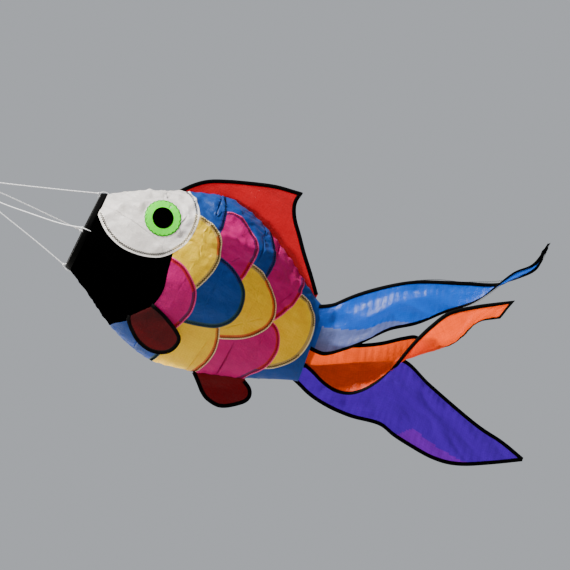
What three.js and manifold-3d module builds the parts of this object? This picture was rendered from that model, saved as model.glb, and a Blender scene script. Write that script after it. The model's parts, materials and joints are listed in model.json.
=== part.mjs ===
// A carp streamer: a hollow ripstop fish that fills with wind through a round mouth, on a four-line
// bridle with a snap swivel. Millimetres. +X runs from the tow point towards the tail and +Z towards
// the dorsal fin. The fish faces -X, so its left side is at -Y. The origin is the tow point.
import * as THREE from 'three';
import { mergeVertices } from 'three/addons/utils/BufferGeometryUtils.js';
import Module from 'manifold-3d';

const wasm = await Module();
wasm.setup();

// Driving dimensions
const MOUTH_X = 340; // from the tow point to the plane of the mouth hoop
const MOUTH_Z = 16; // height of the mouth's centre over the tow point
const HOOP_R = 83; // centre line of the mouth hoop
const ROD_R = 1.4; // fibreglass rod of the hoop
const FERRULE_R = 2.3;
const FERRULE_BORE_R = 1.85;
const FERRULE_ARC = 0.42; // radians of the hoop that the ferrule covers
const FERRULE_AT = -2.4; // its place round the hoop
const HEM_R = 3.5; // half thickness of the sleeve over the rod
const HEM_SKIN = 0.65;
const HEM_BACK = 9.5; // rear edge of the sleeve, behind the hoop
const SKIN = 1.2; // thickness of every body panel
const GAP = 0.35; // clearance between neighbouring pieces
const PATCH_LIFT = 0.4; // an applied patch stands this far off the panel under it
const PATCH_SKIN = 0.8;
const EYE = { x: 132, z: 91, ring: 38, pupil: 22.5 };
const FIN_SKIN = 1.6;
const TAIL_SKIN = 2;
const LINE_R = 1; // bridle line
const LINE_AHEAD = HEM_R + 3.2; // a line leaves its tie this far ahead of the mouth's plane
const TIE_R = 0.8; // cord of the loops that tie the lines to the hoop
const EYELET = { length: 5, depth: 12, width: 4, behind: 1 };
const CORD_SIDES = 8;
const ROWS = 15; // facets along the body
const COLUMNS = 8; // and down each side
const RING = { x: 71, radius: 6, wire: 1 };
const SWIVEL = { x: 52, eye: 12, length: 14, radius: 3, wall: 1, bore: 1.05, shoulder: 2, nose: 2.1 };
const EYE_WIRE = { radius: 3.2, wire: 0.6, stem: 0.75, head: 1.6, headLength: 1.4, play: 2, overlap: 0.2 };
const SNAP = { front: 3, rear: 34, half: 5, wire: 0.9, hinge: 27, latch: 3.5, clear: 0.6 };

const COLOURS = {
  white: 0xebe6e1,
  black: 0x08080b,
  green: 0x74dc58,
  blue: 0x1a62ab,
  yellow: 0xe8bb58,
  pink: 0xd62a86,
  red: 0xd22c2c,
  dark_red: 0x5a0a0a,
  orange: 0xe65a2c,
  purple: 0x3f16b0,
  cord: 0xe6e8ea,
  steel: 0x9aa0a6,
  brass: 0x8c7440,
  rod: 0x2c2c2c,
};

// The body's side view, measured from the mouth's centre
const TOP = [[0, 83], [70, 128], [142, 162], [196, 184], [245, 194], [290, 190], [337, 175], [402, 144],
  [458, 111], [501, 88], [550, 68]];
const BOTTOM = [[0, -83], [60, -112], [120, -145], [180, -170], [247, -180], [348, -158], [428, -131],
  [528, -88], [550, -82]];
const FULLNESS = [[0, 1], [80, 0.82], [160, 0.66], [260, 0.6], [380, 0.5], [500, 0.3], [550, 0.22]];
const RIM_TOP = [520, 80]; // the rear opening is cut on a slant between these two points
const RIM_BOTTOM = [541, -86];
const FRONT = HEM_BACK + GAP;
const BEYOND = 230; // outlines run past the silhouette to this height

// The bridle lines' routes from the hem to the ring, from the tow point, bowed a little by the wind
const LINES = {
  top: [[MOUTH_X - LINE_AHEAD, 0, 99], [260, 0, 71], [136, 0, 25.5], [76.2, 0, 6.6]],
  left: [[MOUTH_X - LINE_AHEAD, -HOOP_R, MOUTH_Z], [292, -68, 5], [225, -47, -4], [155, -27, -11],
    [110, -12, -9], [79.4, -1.4, -0.3]],
  bottom: [[MOUTH_X - LINE_AHEAD, 0, -67], [260, 0, -49], [161, 0, -27], [76.2, 0, -6.6]],
  right: [[MOUTH_X - LINE_AHEAD, HOOP_R, MOUTH_Z], [260, 58, 14], [200, 40, 12], [144, 23, 9],
    [79.4, 1.4, 0.4]],
};

// Panels from the top layer down. Each edge is the seam that shows; inside closes the outline where
// the panels in front cover it, or runs past the silhouette.
const PANELS = [
  { name: 'head', colour: 'white',
    edge: [[FRONT, 42], [38, 14], [78, -1], [119, 0], [156, 12], [179, 32], [197, 62], [203, 101],
      [195, 136], [173, 161], [156, 172]],
    inside: [[150, BEYOND], [FRONT, BEYOND]] },
  { name: 'jaw', colour: 'black',
    edge: [[181, 40], [189, -3], [198, -40], [195, -72], [183, -102], [164, -127], [140, -147], [124, -170]],
    inside: [[100, -BEYOND], [FRONT, -BEYOND], [FRONT, 60]] },
  { name: 'scale_pink_front', colour: 'pink',
    edge: [[179, 28], [208, 24], [230, 13], [260, -14], [271, -52], [266, -79], [254, -104], [228, -128]],
    inside: [[160, -128], [150, 0]] },
  { name: 'chin', colour: 'blue',
    edge: [[240, -80], [257, -112], [257, -150], [247, -184]],
    inside: [[236, -BEYOND], [60, -BEYOND], [60, -100], [170, -60]] },
  { name: 'scale_yellow_front', colour: 'yellow',
    edge: [[178, 122], [208, 125], [236, 119], [259, 102], [274, 68], [273, 35], [258, -10], [240, -36]],
    inside: [[180, -30], [150, 60]] },
  { name: 'scale_blue_front', colour: 'blue',
    edge: [[228, 205], [236, 190], [247, 163], [252, 136], [250, 110], [240, 86]],
    inside: [[190, 70], [120, 130], [120, BEYOND], [222, BEYOND]] },
  { name: 'scale_blue_middle', colour: 'blue',
    edge: [[258, 72], [282, 71], [310, 63], [338, 46], [356, 24], [363, -6], [356, -37], [333, -62],
      [297, -76], [262, -84], [232, -84]],
    inside: [[225, -40], [230, 40]] },
  { name: 'scale_pink_upper', colour: 'pink',
    edge: [[236, 160], [262, 168], [289, 163], [318, 143], [334, 121], [341, 90], [336, 50], [322, 20]],
    inside: [[240, 30], [220, 100]] },
  { name: 'scale_yellow_belly', colour: 'yellow',
    edge: [[330, -40], [341, -64], [350, -86], [353, -111], [349, -138], [334, -166]],
    inside: [[322, -BEYOND], [200, -BEYOND], [200, -80], [290, -50]] },
  { name: 'scale_yellow_middle', colour: 'yellow',
    edge: [[312, 90], [342, 90], [371, 83], [402, 63], [423, 41], [433, 13], [430, -14], [416, -37],
      [390, -60], [351, -79], [320, -90]],
    inside: [[290, -40], [290, 60]] },
  { name: 'scale_blue_upper', colour: 'blue',
    edge: [[340, 190], [358, 160], [374, 134], [382, 109], [383, 84], [376, 58]],
    inside: [[330, 40], [230, 100], [222, BEYOND], [325, BEYOND]] },
  { name: 'scale_pink_back', colour: 'pink',
    edge: [[450, 140], [459, 112], [463, 82], [458, 51], [441, 14], [424, -8]],
    inside: [[390, 20], [350, 60], [330, BEYOND], [440, BEYOND]] },
  { name: 'scale_pink_belly', colour: 'pink',
    edge: [[412, 2], [441, 0], [462, -19], [472, -48], [468, -82], [454, -106], [428, -134]],
    inside: [[410, -BEYOND], [310, -BEYOND], [330, -70]] },
  { name: 'scale_yellow_tail', colour: 'yellow',
    edge: [[446, 80], [470, 81], [490, 73], [508, 56], [519, 36], [525, 4], [521, -31], [505, -60],
      [474, -87], [448, -100]],
    inside: [[430, -60], [425, 30]] },
  { name: 'tail_base', colour: 'blue',
    edge: [[RIM_TOP[0], RIM_TOP[1]], [RIM_BOTTOM[0], RIM_BOTTOM[1]]],
    inside: [[RIM_BOTTOM[0] + 18, -BEYOND], [380, -BEYOND], [380, BEYOND], [RIM_TOP[0] - 19, BEYOND]] },
];

// The free outlines of the fins, and the three long curves of each tail: upper hem, middle and lower hem
const DORSAL = [[139, 163], [161, 190], [186, 211], [222, 229], [269, 248], [316, 264], [358, 272],
  [375, 275]];
const DORSAL_REAR = [[375, 275], [372, 254], [377, 236], [390, 216], [410, 194], [437, 163], [466, 133],
  [498, 98]];
const VENTRAL = [[334, -166], [352, -181], [368, -195], [385, -204], [410, -207], [428, -201], [446, -188],
  [462, -172], [466, -156], [458, -141], [440, -131]];
const PECTORAL_ROOT = [[157, -119], [190, -77]];
const PECTORAL = [[197, -78], [229, -88], [261, -104], [275, -119], [272, -142], [257, -159], [230, -167],
  [199, -161], [176, -146], [160, -130]];
const PECTORAL_LIFT = 4.5; // root edge off the body
const PECTORAL_TIP = { x: 272, z: -142, y: 104 };
const TAILS = [
  { name: 'tail_blue', colour: 'blue',
    upper: [[523, -11, 79], [567, -13, 133], [607, -14, 170], [657, -15, 206], [705, -15, 232],
      [766, -14, 260], [829, -10, 289], [864, -14, 318], [889, -20, 352], [885, -23, 414]],
    middle: [[530, -15, 33], [574, -24, 61], [615, -30, 92], [657, -32, 146], [705, -32, 178],
      [759, -26, 215], [816, -19, 262], [856, -20, 322], [884, -22, 358], [886, -23, 415]],
    lower: [[535, -11, -14], [563, -15, -12], [601, -19, 21], [630, -22, 57], [664, -24, 96],
      [712, -25, 133], [755, -26, 182], [803, -27, 233], [828, -27, 284], [848, -26, 324], [876, -25, 358],
      [887, -23, 416]] },
  { name: 'tail_orange', colour: 'orange',
    upper: [[532, 2, 0], [575, 2, 18], [620, 1, 42], [665, 0, 70], [700, -4, 98], [722, -9, 112],
      [752, -24, 108], [782, -36, 122], [802, -42, 150], [817, -45, 188], [864, -48, 224]],
    middle: [[534, 2, -22], [575, 6, -18], [620, 8, -14], [662, 4, 4], [696, -8, 38], [728, -26, 66],
      [764, -40, 102], [790, -47, 150], [818, -50, 198], [868, -50, 246]],
    lower: [[537, 2, -46], [560, 1, -55], [590, -2, -66], [621, -6, -70], [650, -11, -62], [672, -16, -42],
      [692, -22, -6], [706, -27, 40], [722, -33, 104], [738, -38, 148], [758, -42, 186], [800, -46, 221],
      [837, -48, 246], [876, -49, 271]] },
  { name: 'tail_purple', colour: 'purple',
    upper: [[538, 12, -50], [600, 13, -14], [660, 15, 24], [721, 17, 57], [796, 20, 36], [868, 24, 18],
      [937, 28, 3], [990, 31, -2], [1041, 34, -14]],
    middle: [[540, 12, -68], [600, 20, -54], [660, 25, -40], [730, 26, -16], [800, 28, -26], [868, 30, -36],
      [937, 32, -40], [990, 33, -28], [1041, 34, -15]],
    lower: [[541, 12, -85], [569, 13, -98], [617, 15, -105], [674, 17, -102], [741, 20, -90], [777, 22, -98],
      [822, 24, -103], [866, 26, -105], [905, 28, -100], [939, 30, -88], [988, 32, -59], [1041, 34, -16]] },
];

const group = new THREE.Group();
const fish = new THREE.Group();
fish.position.set(MOUTH_X, 0, MOUTH_Z);
group.add(fish);

function piece(parent, name, geometry, colour, roughness = 0.7, metalness = 0) {
  const material = new THREE.MeshStandardMaterial({ color: COLOURS[colour], roughness, metalness });
  const mesh = new THREE.Mesh(geometry, material);
  mesh.name = name;
  parent.add(mesh);
  return mesh;
}

// A smooth function through (x, value) pairs
function through(pairs) {
  const slope = (i) => {
    const before = pairs[Math.max(i - 1, 0)];
    const after = pairs[Math.min(i + 1, pairs.length - 1)];
    return (after[1] - before[1]) / (after[0] - before[0]);
  };
  return (x) => {
    let i = 0;
    while (i < pairs.length - 2 && pairs[i + 1][0] < x) i += 1;
    const span = pairs[i + 1][0] - pairs[i][0];
    const t = (x - pairs[i][0]) / span;
    const h = t * t * (3 - 2 * t);
    return pairs[i][1] * (1 - h) + pairs[i + 1][1] * h
      + span * t * (1 - t) * (slope(i) * (1 - t) - slope(i + 1) * t);
  };
}

const top = through(TOP);
const bottom = through(BOTTOM);
const fullness = through(FULLNESS);

// The body's skin: across turns from the dorsal line, 0, to the belly line, 1
function skinPoint(x, across, side) {
  const angle = (0.5 - across) * Math.PI;
  const half = (top(x) - bottom(x)) / 2;
  const width = half * fullness(x);
  return new THREE.Vector3(
    x,
    side * (GAP / 2 + width * Math.cos(angle)),
    (top(x) + bottom(x)) / 2 + half * Math.sin(angle),
  );
}

// How far the skin stands from the middle plane at a point of the side view
function skinReach(x, z) {
  const half = (top(x) - bottom(x)) / 2;
  const middle = (top(x) + bottom(x)) / 2;
  return half * fullness(x) * Math.sqrt(Math.max(0, 1 - ((z - middle) / half) ** 2));
}

function toSolid(geometry) {
  const bare = geometry.clone();
  bare.deleteAttribute('normal');
  bare.deleteAttribute('uv');
  const merged = mergeVertices(bare, 1e-4);
  return new wasm.Manifold(new wasm.Mesh({
    numProp: 3,
    vertProperties: new Float32Array(merged.attributes.position.array),
    triVerts: new Uint32Array(merged.index.array),
  }));
}

function toGeometry(solid) {
  const mesh = solid.getMesh();
  const geometry = new THREE.BufferGeometry();
  geometry.setAttribute('position', new THREE.BufferAttribute(new Float32Array(mesh.vertProperties), 3));
  geometry.setIndex(new THREE.BufferAttribute(new Uint32Array(mesh.triVerts), 1));
  geometry.computeVertexNormals();
  return geometry;
}

// A closed sheet: point(u, v) is its face, and it reaches from shift to shift - skin along the normal
function sheet(point, rows, columns, skin, shift, turned = false) {
  const step = 1e-3;
  const positions = [];
  const faces = [];
  const across = columns + 1;
  for (const depth of [shift, shift - skin]) {
    for (let i = 0; i <= rows; i += 1) {
      for (let j = 0; j <= columns; j += 1) {
        const u = i / rows;
        const v = j / columns;
        const along = point(Math.min(u + step, 1), v).sub(point(Math.max(u - step, 0), v));
        const over = point(u, Math.min(v + step, 1)).sub(point(u, Math.max(v - step, 0)));
        const normal = along.cross(over).normalize().multiplyScalar(turned ? -depth : depth);
        positions.push(...point(u, v).add(normal).toArray());
      }
    }
  }
  const back = (rows + 1) * across;
  const quad = (a, b, c, d) => {
    if (turned) faces.push(a, c, b, a, d, c);
    else faces.push(a, b, c, a, c, d);
  };
  for (let i = 0; i < rows; i += 1) {
    for (let j = 0; j < columns; j += 1) {
      const a = i * across + j;
      quad(a, a + across, a + across + 1, a + 1);
      quad(back + a, back + a + 1, back + a + across + 1, back + a + across);
    }
  }
  for (let i = 0; i < rows; i += 1) {
    const a = i * across;
    const b = a + columns;
    quad(a, back + a, back + a + across, a + across);
    quad(b, b + across, back + b + across, back + b);
  }
  for (let j = 0; j < columns; j += 1) {
    const b = rows * across + j;
    quad(j, j + 1, back + j + 1, back + j);
    quad(b, back + b, back + b + 1, b + 1);
  }
  const geometry = new THREE.BufferGeometry();
  geometry.setAttribute('position', new THREE.BufferAttribute(new Float32Array(positions), 3));
  geometry.setIndex(faces);
  geometry.computeVertexNormals();
  return geometry;
}

function smoothCurve(points, steps) {
  return new THREE.SplineCurve(points.map((p) => new THREE.Vector2(p[0], p[1]))).getPoints(steps);
}

// A prism across one half of the body, from an outline of the side view grown about its middle
function prism(outline, side, grow = 0) {
  const middle = outline.reduce((sum, p) => sum.add(p), new THREE.Vector2()).divideScalar(outline.length);
  const grown = outline.map((p) => {
    const ray = p.clone().sub(middle);
    return p.clone().add(ray.setLength(grow));
  });
  const depth = 200;
  const geometry = new THREE.ExtrudeGeometry(new THREE.Shape(grown), { depth, bevelEnabled: false });
  geometry.rotateX(Math.PI / 2);
  if (side > 0) geometry.translate(0, depth, 0);
  return toSolid(geometry);
}

function panelOutline({ name, edge, inside }) {
  const seam = name === 'tail_base' ? edge.map((p) => new THREE.Vector2(...p))
    : smoothCurve(edge, (edge.length - 1) * 2);
  return [...seam, ...inside.map((p) => new THREE.Vector2(...p))];
}

function largest(solid) {
  return solid.decompose().reduce((a, b) => (a.volume() > b.volume() ? a : b));
}

function bodyPanels(side) {
  const half = side < 0 ? 'left' : 'right';
  const length = RIM_BOTTOM[0] + 4 - FRONT;
  const point = (u, v) => skinPoint(FRONT + u * length, v, side);
  let skin = toSolid(sheet(point, ROWS, COLUMNS, SKIN, 0, side < 0));
  for (const place of tiePlaces) skin = skin.subtract(eyelet(place));
  let covered = null;
  for (const panel of PANELS) {
    const outline = panelOutline(panel);
    let solid = skin.intersect(prism(outline, side));
    if (covered) solid = solid.subtract(covered);
    piece(fish, `${panel.name}_${half}`, toGeometry(largest(solid)), panel.colour);
    const grown = prism(outline, side, 2 * GAP);
    covered = covered ? covered.add(grown) : grown;
  }
  const patch = (name, radius, lift, colour) => {
    const face = toSolid(sheet(point, ROWS, COLUMNS, PATCH_SKIN, lift + PATCH_SKIN, side < 0));
    const disc = prism(circle(EYE.x, EYE.z, radius, 24), side);
    piece(fish, `${name}_${half}`, toGeometry(largest(face.intersect(disc))), colour);
  };
  patch('eye_ring', EYE.ring, PATCH_LIFT, 'green');
  patch('eye_pupil', EYE.pupil, 2 * PATCH_LIFT + PATCH_SKIN, 'black');
}

// The four places round the hoop where a bridle line is tied, as angles from the left side
const tiePlaces = [
  { name: 'top', angle: Math.PI / 2 },
  { name: 'left', angle: 0 },
  { name: 'bottom', angle: -Math.PI / 2 },
  { name: 'right', angle: Math.PI },
];

// A point that stands off the skin by lift, at an angle round the body from its left side. Ahead of the
// mouth's plane the skin is taken on as a straight tube.
function aroundMouth(x, lift, angle) {
  const at = Math.max(x, 0);
  const half = (top(at) - bottom(at)) / 2;
  const width = half * fullness(at);
  return new THREE.Vector3(
    x,
    -(width + lift) * Math.cos(angle),
    (top(at) + bottom(at)) / 2 + (half + lift) * Math.sin(angle),
  );
}

function eyelet({ angle }) {
  const hole = new THREE.BoxGeometry(EYELET.length, EYELET.depth, EYELET.width);
  hole.rotateX(-angle);
  hole.translate(...aroundMouth(HEM_BACK + EYELET.behind, 0, angle).toArray());
  return toSolid(hole);
}

// A full circle as a ring of points
function circle(x, y, radius, sides) {
  const points = [];
  for (let i = 0; i < sides; i += 1) {
    const angle = (2 * Math.PI * i) / sides;
    points.push(new THREE.Vector2(x + radius * Math.cos(angle), y + radius * Math.sin(angle)));
  }
  return points;
}

function tube(points, radius, steps) {
  const path = new THREE.CatmullRomCurve3(points);
  const section = new THREE.Shape(circle(0, 0, radius, CORD_SIDES));
  return new THREE.ExtrudeGeometry(section, { steps, extrudePath: path, bevelEnabled: false });
}

function hoopArc(from, to) {
  const points = [];
  const count = 48; // points of the arc
  for (let i = 0; i <= count; i += 1) {
    const angle = from + ((to - from) * i) / count;
    points.push(aroundMouth(0, 0, angle));
  }
  return points;
}

function mouth() {
  const slit = 0.003; // radians between the rod's two ends
  const start = FERRULE_AT + slit;
  piece(fish, 'mouth_hoop', tube(hoopArc(start, start + 2 * Math.PI - 2 * slit), ROD_R, 40), 'rod', 0.4);

  const wall = new THREE.Shape(circle(0, 0, FERRULE_R, 10));
  wall.holes.push(new THREE.Path(circle(0, 0, FERRULE_BORE_R, 10).reverse()));
  const arc = hoopArc(FERRULE_AT - FERRULE_ARC / 2, FERRULE_AT + FERRULE_ARC / 2);
  piece(fish, 'hoop_ferrule', new THREE.ExtrudeGeometry(wall, {
    steps: 8,
    extrudePath: new THREE.CatmullRomCurve3(arc),
    bevelEnabled: false,
  }), 'steel', 0.35, 1);

  // the sleeve is a strip folded over the rod, its two edges brought almost together at the back
  const profile = [];
  const edge = 0.3; // half the gap between the two edges
  const fold = (radius, from, to) => {
    for (let i = 0; i <= 4; i += 1) {
      const angle = from + ((to - from) * i) / 4;
      profile.push([radius * Math.cos(angle), -radius * Math.sin(angle)]);
    }
  };
  profile.push([edge + HEM_SKIN, HEM_BACK]);
  fold(HEM_R, 0, Math.PI);
  profile.push([-edge - HEM_SKIN, HEM_BACK], [-edge, HEM_BACK]);
  fold(HEM_R - HEM_SKIN, Math.PI, 0);
  profile.push([edge, HEM_BACK]);
  piece(fish, 'mouth_hem', sleeve(profile, 36), 'black');
}

// A profile of (lift off the skin, x) points carried round the mouth, as a closed ring
function sleeve(profile, turns) {
  const positions = [];
  const faces = [];
  const count = profile.length;
  for (let i = 0; i < turns; i += 1) {
    const angle = (2 * Math.PI * i) / turns;
    const next = (i + 1) % turns;
    profile.forEach(([lift, x], j) => {
      const over = (j + 1) % count;
      positions.push(...aroundMouth(x, lift, angle).toArray());
      faces.push(i * count + j, next * count + over, i * count + over);
      faces.push(i * count + j, next * count + j, next * count + over);
    });
  }
  const geometry = new THREE.BufferGeometry();
  geometry.setAttribute('position', new THREE.BufferAttribute(new Float32Array(positions), 3));
  geometry.setIndex(faces);
  geometry.computeVertexNormals();
  return geometry;
}

// A loop of line round the sleeve and the rod, through an eyelet behind the sleeve
function tieLoop({ name, angle }) {
  const reach = HEM_R + LINE_R + 0.6;
  const behind = HEM_BACK + 2.1;
  const shoulder = HEM_BACK - 2.5;
  const ahead = -HEM_R - LINE_R - 0.5;
  const outer = [[ahead, 1.7], [ahead + 2.5, reach - 0.4], [4, reach], [shoulder, 3.4], [behind, 0]];
  const inner = outer.slice(0, -1).reverse().map(([x, out]) => [x, -out]);
  const points = [...outer, ...inner].map(([x, out]) => aroundMouth(x, out, angle));
  piece(fish, `bridle_tie_${name}`, tube(points, TIE_R, 16), 'cord', 0.6);
}

function bridleLines() {
  for (const [name, route] of Object.entries(LINES)) {
    const points = route.map((p) => new THREE.Vector3(...p));
    piece(group, `bridle_line_${name}`, tube(points, LINE_R, 16), 'cord', 0.6);
  }
}

function swivelEye(name, x, facing) {
  const eye = new THREE.TorusGeometry(EYE_WIRE.radius, EYE_WIRE.wire, 6, 16);
  const inner = SWIVEL.length / 2 - SWIVEL.wall - EYE_WIRE.play;
  const neck = inner + EYE_WIRE.headLength;
  const reach = SWIVEL.eye - EYE_WIRE.radius + EYE_WIRE.overlap;
  const profile = [
    [0, inner], [EYE_WIRE.head, inner], [EYE_WIRE.head, neck], [EYE_WIRE.stem, neck],
    [EYE_WIRE.stem, reach], [0, reach],
  ].map((p) => new THREE.Vector2(...p));
  const stem = new THREE.LatheGeometry(profile, 8);
  stem.rotateZ(-Math.PI / 2);
  stem.translate(-SWIVEL.eye, 0, 0);
  const solid = toSolid(eye).add(toSolid(stem));
  const mesh = piece(group, name, toGeometry(solid), 'steel', 0.3, 1);
  mesh.position.set(x, 0, 0);
  if (facing < 0) mesh.rotation.z = Math.PI;
}

function towFittings() {
  const ring = new THREE.TorusGeometry(RING.radius, RING.wire, 6, 20);
  ring.rotateX(Math.PI / 2);
  piece(group, 'bridle_ring', ring, 'steel', 0.3, 1).position.set(RING.x, 0, 0);

  const half = SWIVEL.length / 2;
  const inside = SWIVEL.radius - SWIVEL.wall;
  const profile = [
    [SWIVEL.bore, -half], [SWIVEL.nose, -half], [SWIVEL.radius, SWIVEL.shoulder - half],
    [SWIVEL.radius, half - SWIVEL.shoulder], [SWIVEL.nose, half], [SWIVEL.bore, half],
    [SWIVEL.bore, half - SWIVEL.wall], [inside, half - SWIVEL.wall], [inside, SWIVEL.wall - half],
    [SWIVEL.bore, SWIVEL.wall - half], [SWIVEL.bore, -half],
  ].map((p) => new THREE.Vector2(...p));
  const barrel = new THREE.LatheGeometry(profile, 16);
  barrel.rotateZ(-Math.PI / 2);
  piece(group, 'swivel_barrel', barrel, 'brass', 0.35, 1).position.set(SWIVEL.x, 0, 0);
  swivelEye('swivel_eye_rear', SWIVEL.x + SWIVEL.eye, 1);
  swivelEye('swivel_eye_front', SWIVEL.x - SWIVEL.eye, -1);

  const bend = (x, from, to) => {
    const points = [];
    for (let i = 0; i <= 6; i += 1) {
      const angle = from + ((to - from) * i) / 6;
      points.push(new THREE.Vector3(x + SNAP.half * Math.cos(angle), 0, SNAP.half * Math.sin(angle)));
    }
    return points;
  };
  const wire = [
    new THREE.Vector3(SNAP.hinge + SNAP.wire + SNAP.clear, 0, -SNAP.half),
    ...bend(SNAP.rear, -Math.PI / 2, Math.PI / 2),
    new THREE.Vector3((SNAP.front + SNAP.rear) / 2, 0, SNAP.half),
    ...bend(SNAP.front, Math.PI / 2, (3 * Math.PI) / 2),
  ];
  piece(group, 'snap_frame', tube(wire, SNAP.wire, 28), 'steel', 0.3, 1);
  const gate = [SNAP.hinge, SNAP.latch].map((x) => new THREE.Vector3(x, 0, -SNAP.half));
  const gateTube = tube(gate, SNAP.wire, 2);
  piece(group, 'snap_gate', gateTube, 'steel', 0.3, 1);
}

// A flat fin: its outline in the side view, centred on the middle plane
function finPlate(outline) {
  const geometry = new THREE.ExtrudeGeometry(new THREE.Shape(outline), {
    depth: FIN_SKIN,
    bevelEnabled: false,
  });
  geometry.rotateX(Math.PI / 2);
  geometry.translate(0, FIN_SKIN / 2, 0);
  return geometry;
}

// The body's outline between two places, stood off by lift, for the root of a fin
function rootEdge(line, from, to, lift, count) {
  const points = [];
  for (let i = 0; i <= count; i += 1) {
    const x = from + ((to - from) * i) / count;
    points.push(new THREE.Vector2(x, line(x) + lift));
  }
  return points;
}

function fins() {
  const rise = 0.9; // gap to the body, before its own facets
  const dorsal = [
    ...smoothCurve(DORSAL, 18),
    ...smoothCurve(DORSAL_REAR, 18).slice(1),
    ...rootEdge(top, 500, 139, rise, 16),
  ];
  piece(fish, 'dorsal_fin', finPlate(dorsal), 'red');

  const ventral = [...smoothCurve(VENTRAL, 24), ...rootEdge(bottom, 436, 336, -rise, 6)];
  piece(fish, 'ventral_fin', finPlate(ventral), 'dark_red');

  const [low, high] = PECTORAL_ROOT.map(([x, z]) => new THREE.Vector3(x, skinReach(x, z) + PECTORAL_LIFT, z));
  const tip = new THREE.Vector3(PECTORAL_TIP.x, PECTORAL_TIP.y, PECTORAL_TIP.z);
  const plane = new THREE.Plane().setFromCoplanarPoints(low, high, tip);
  const outline = smoothCurve([PECTORAL_ROOT[1], ...PECTORAL, PECTORAL_ROOT[0]], 33);
  for (const side of [-1, 1]) {
    const plate = finPlate(outline);
    const place = plate.attributes.position;
    for (let i = 0; i < place.count; i += 1) {
      const x = place.getX(i);
      const z = place.getZ(i);
      const reach = -(plane.constant + plane.normal.x * x + plane.normal.z * z) / plane.normal.y;
      place.setY(i, place.getY(i) + side * reach);
    }
    piece(fish, `pectoral_fin_${side < 0 ? 'left' : 'right'}`, plate, 'dark_red');
  }
}

function tails() {
  for (const { name, colour, upper, middle, lower } of TAILS) {
    const [high, centre, low] = [upper, middle, lower].map((points) => {
      const curve = new THREE.CatmullRomCurve3(points.map((p) => new THREE.Vector3(...p)));
      curve.arcLengthDivisions = 400;
      return curve;
    });
    const point = (u, v) => {
      const a = high.getPointAt(u).multiplyScalar((1 - v) * (1 - 2 * v));
      const b = centre.getPointAt(u).multiplyScalar(4 * v * (1 - v));
      const c = low.getPointAt(u).multiplyScalar(v * (2 * v - 1));
      return a.add(b).add(c);
    };
    const free = (u, v) => point(u * 0.97, v);
    piece(fish, name, sheet(free, 22, 4, TAIL_SKIN, TAIL_SKIN / 2), colour);
  }
}

mouth();
tiePlaces.forEach(tieLoop);
bodyPanels(-1);
bodyPanels(1);
fins();
tails();
bridleLines();
towFittings();

export default group;
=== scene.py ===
import json
import math

import bmesh
import bpy
import numpy as np
from mathutils import Matrix, Vector, noise
from mathutils.bvhtree import BVHTree
from mathutils.geometry import barycentric_transform, delaunay_2d_cdt
from mathutils.kdtree import KDTree


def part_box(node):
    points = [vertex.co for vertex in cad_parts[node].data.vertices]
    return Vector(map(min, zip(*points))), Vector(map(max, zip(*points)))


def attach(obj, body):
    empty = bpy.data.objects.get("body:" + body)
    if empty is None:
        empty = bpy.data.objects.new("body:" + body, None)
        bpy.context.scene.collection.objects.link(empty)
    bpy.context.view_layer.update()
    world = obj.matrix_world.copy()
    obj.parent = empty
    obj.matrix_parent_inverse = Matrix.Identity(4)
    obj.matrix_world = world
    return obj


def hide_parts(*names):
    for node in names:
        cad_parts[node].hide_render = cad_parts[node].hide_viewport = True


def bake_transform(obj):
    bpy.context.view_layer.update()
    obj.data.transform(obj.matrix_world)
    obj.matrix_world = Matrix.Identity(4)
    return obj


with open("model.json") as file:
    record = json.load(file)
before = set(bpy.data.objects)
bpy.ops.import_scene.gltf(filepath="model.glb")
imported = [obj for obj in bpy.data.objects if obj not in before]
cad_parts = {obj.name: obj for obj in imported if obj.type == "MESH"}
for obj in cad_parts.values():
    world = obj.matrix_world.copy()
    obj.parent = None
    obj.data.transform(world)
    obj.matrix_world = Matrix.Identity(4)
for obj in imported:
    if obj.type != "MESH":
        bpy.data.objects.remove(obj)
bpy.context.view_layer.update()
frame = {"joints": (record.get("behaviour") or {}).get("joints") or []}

# ---------------------------------------------------------------- sizes, in millimetres
HEM_BACK = 9.5  # rear edge of the mouth's sleeve
HEM_R = 3.4  # radius of the sleeve's round front, over the rod
ROD_R = 1.4
FRONT = 5.0  # the body's cloth starts this far back, inside the sleeve
CLOTH_STEP = 4.0  # size of the body mesh's triangles
ROLL = 1.6  # a seam's edge rises to its full height over this width
SEAM_LIFT = 0.8  # a front panel stands this far off the one behind it
ALLOWANCE = 9.5  # width of the overlap under a front panel's edge
RAW_EDGE = 2.6  # width of the pale strip along a front panel's cut edge
STITCH = {"pitch": 5.0, "width": 4.8, "thread": 1.3, "height": 0.5}
TAPE = 7.5  # width of the black tape that binds the fins and the tails
LINE_R = 1.0  # radius of a bridle line
TIE_R = 0.8  # radius of a tie loop
TIE_END_R = 0.7  # radius of a tie loop's loose end
RING = {"x": 71.0, "radius": 6.0, "wire": 1.0}
SWIVEL = {"x": 52.0, "eye": 12.0, "length": 14.0, "radius": 3.0, "loop": 3.2, "wire": 0.6, "stem": 0.75,
          "bore": 1.15}
SNAP = {"front": 3.0, "rear": 34.0, "half": 5.0, "wire": 0.9, "hinge": 27.0, "latch": 3.5, "coil_x": 30.2,
        "coil_length": 2.4}
FINE_WIRE = 0.35  # radius of the wire that is wound round the swivel's stems and the snap
EYE = {"x": 132.0, "z": 91.0, "ring": 38.0, "pupil": 22.5}

hoop_low, hoop_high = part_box("mouth_hoop")
MOUTH_X = (hoop_low.x + hoop_high.x) * 500
MOUTH_Z = (hoop_low.z + hoop_high.z) * 500
ORIGIN = np.array([MOUTH_X, 0.0, MOUTH_Z])

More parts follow.
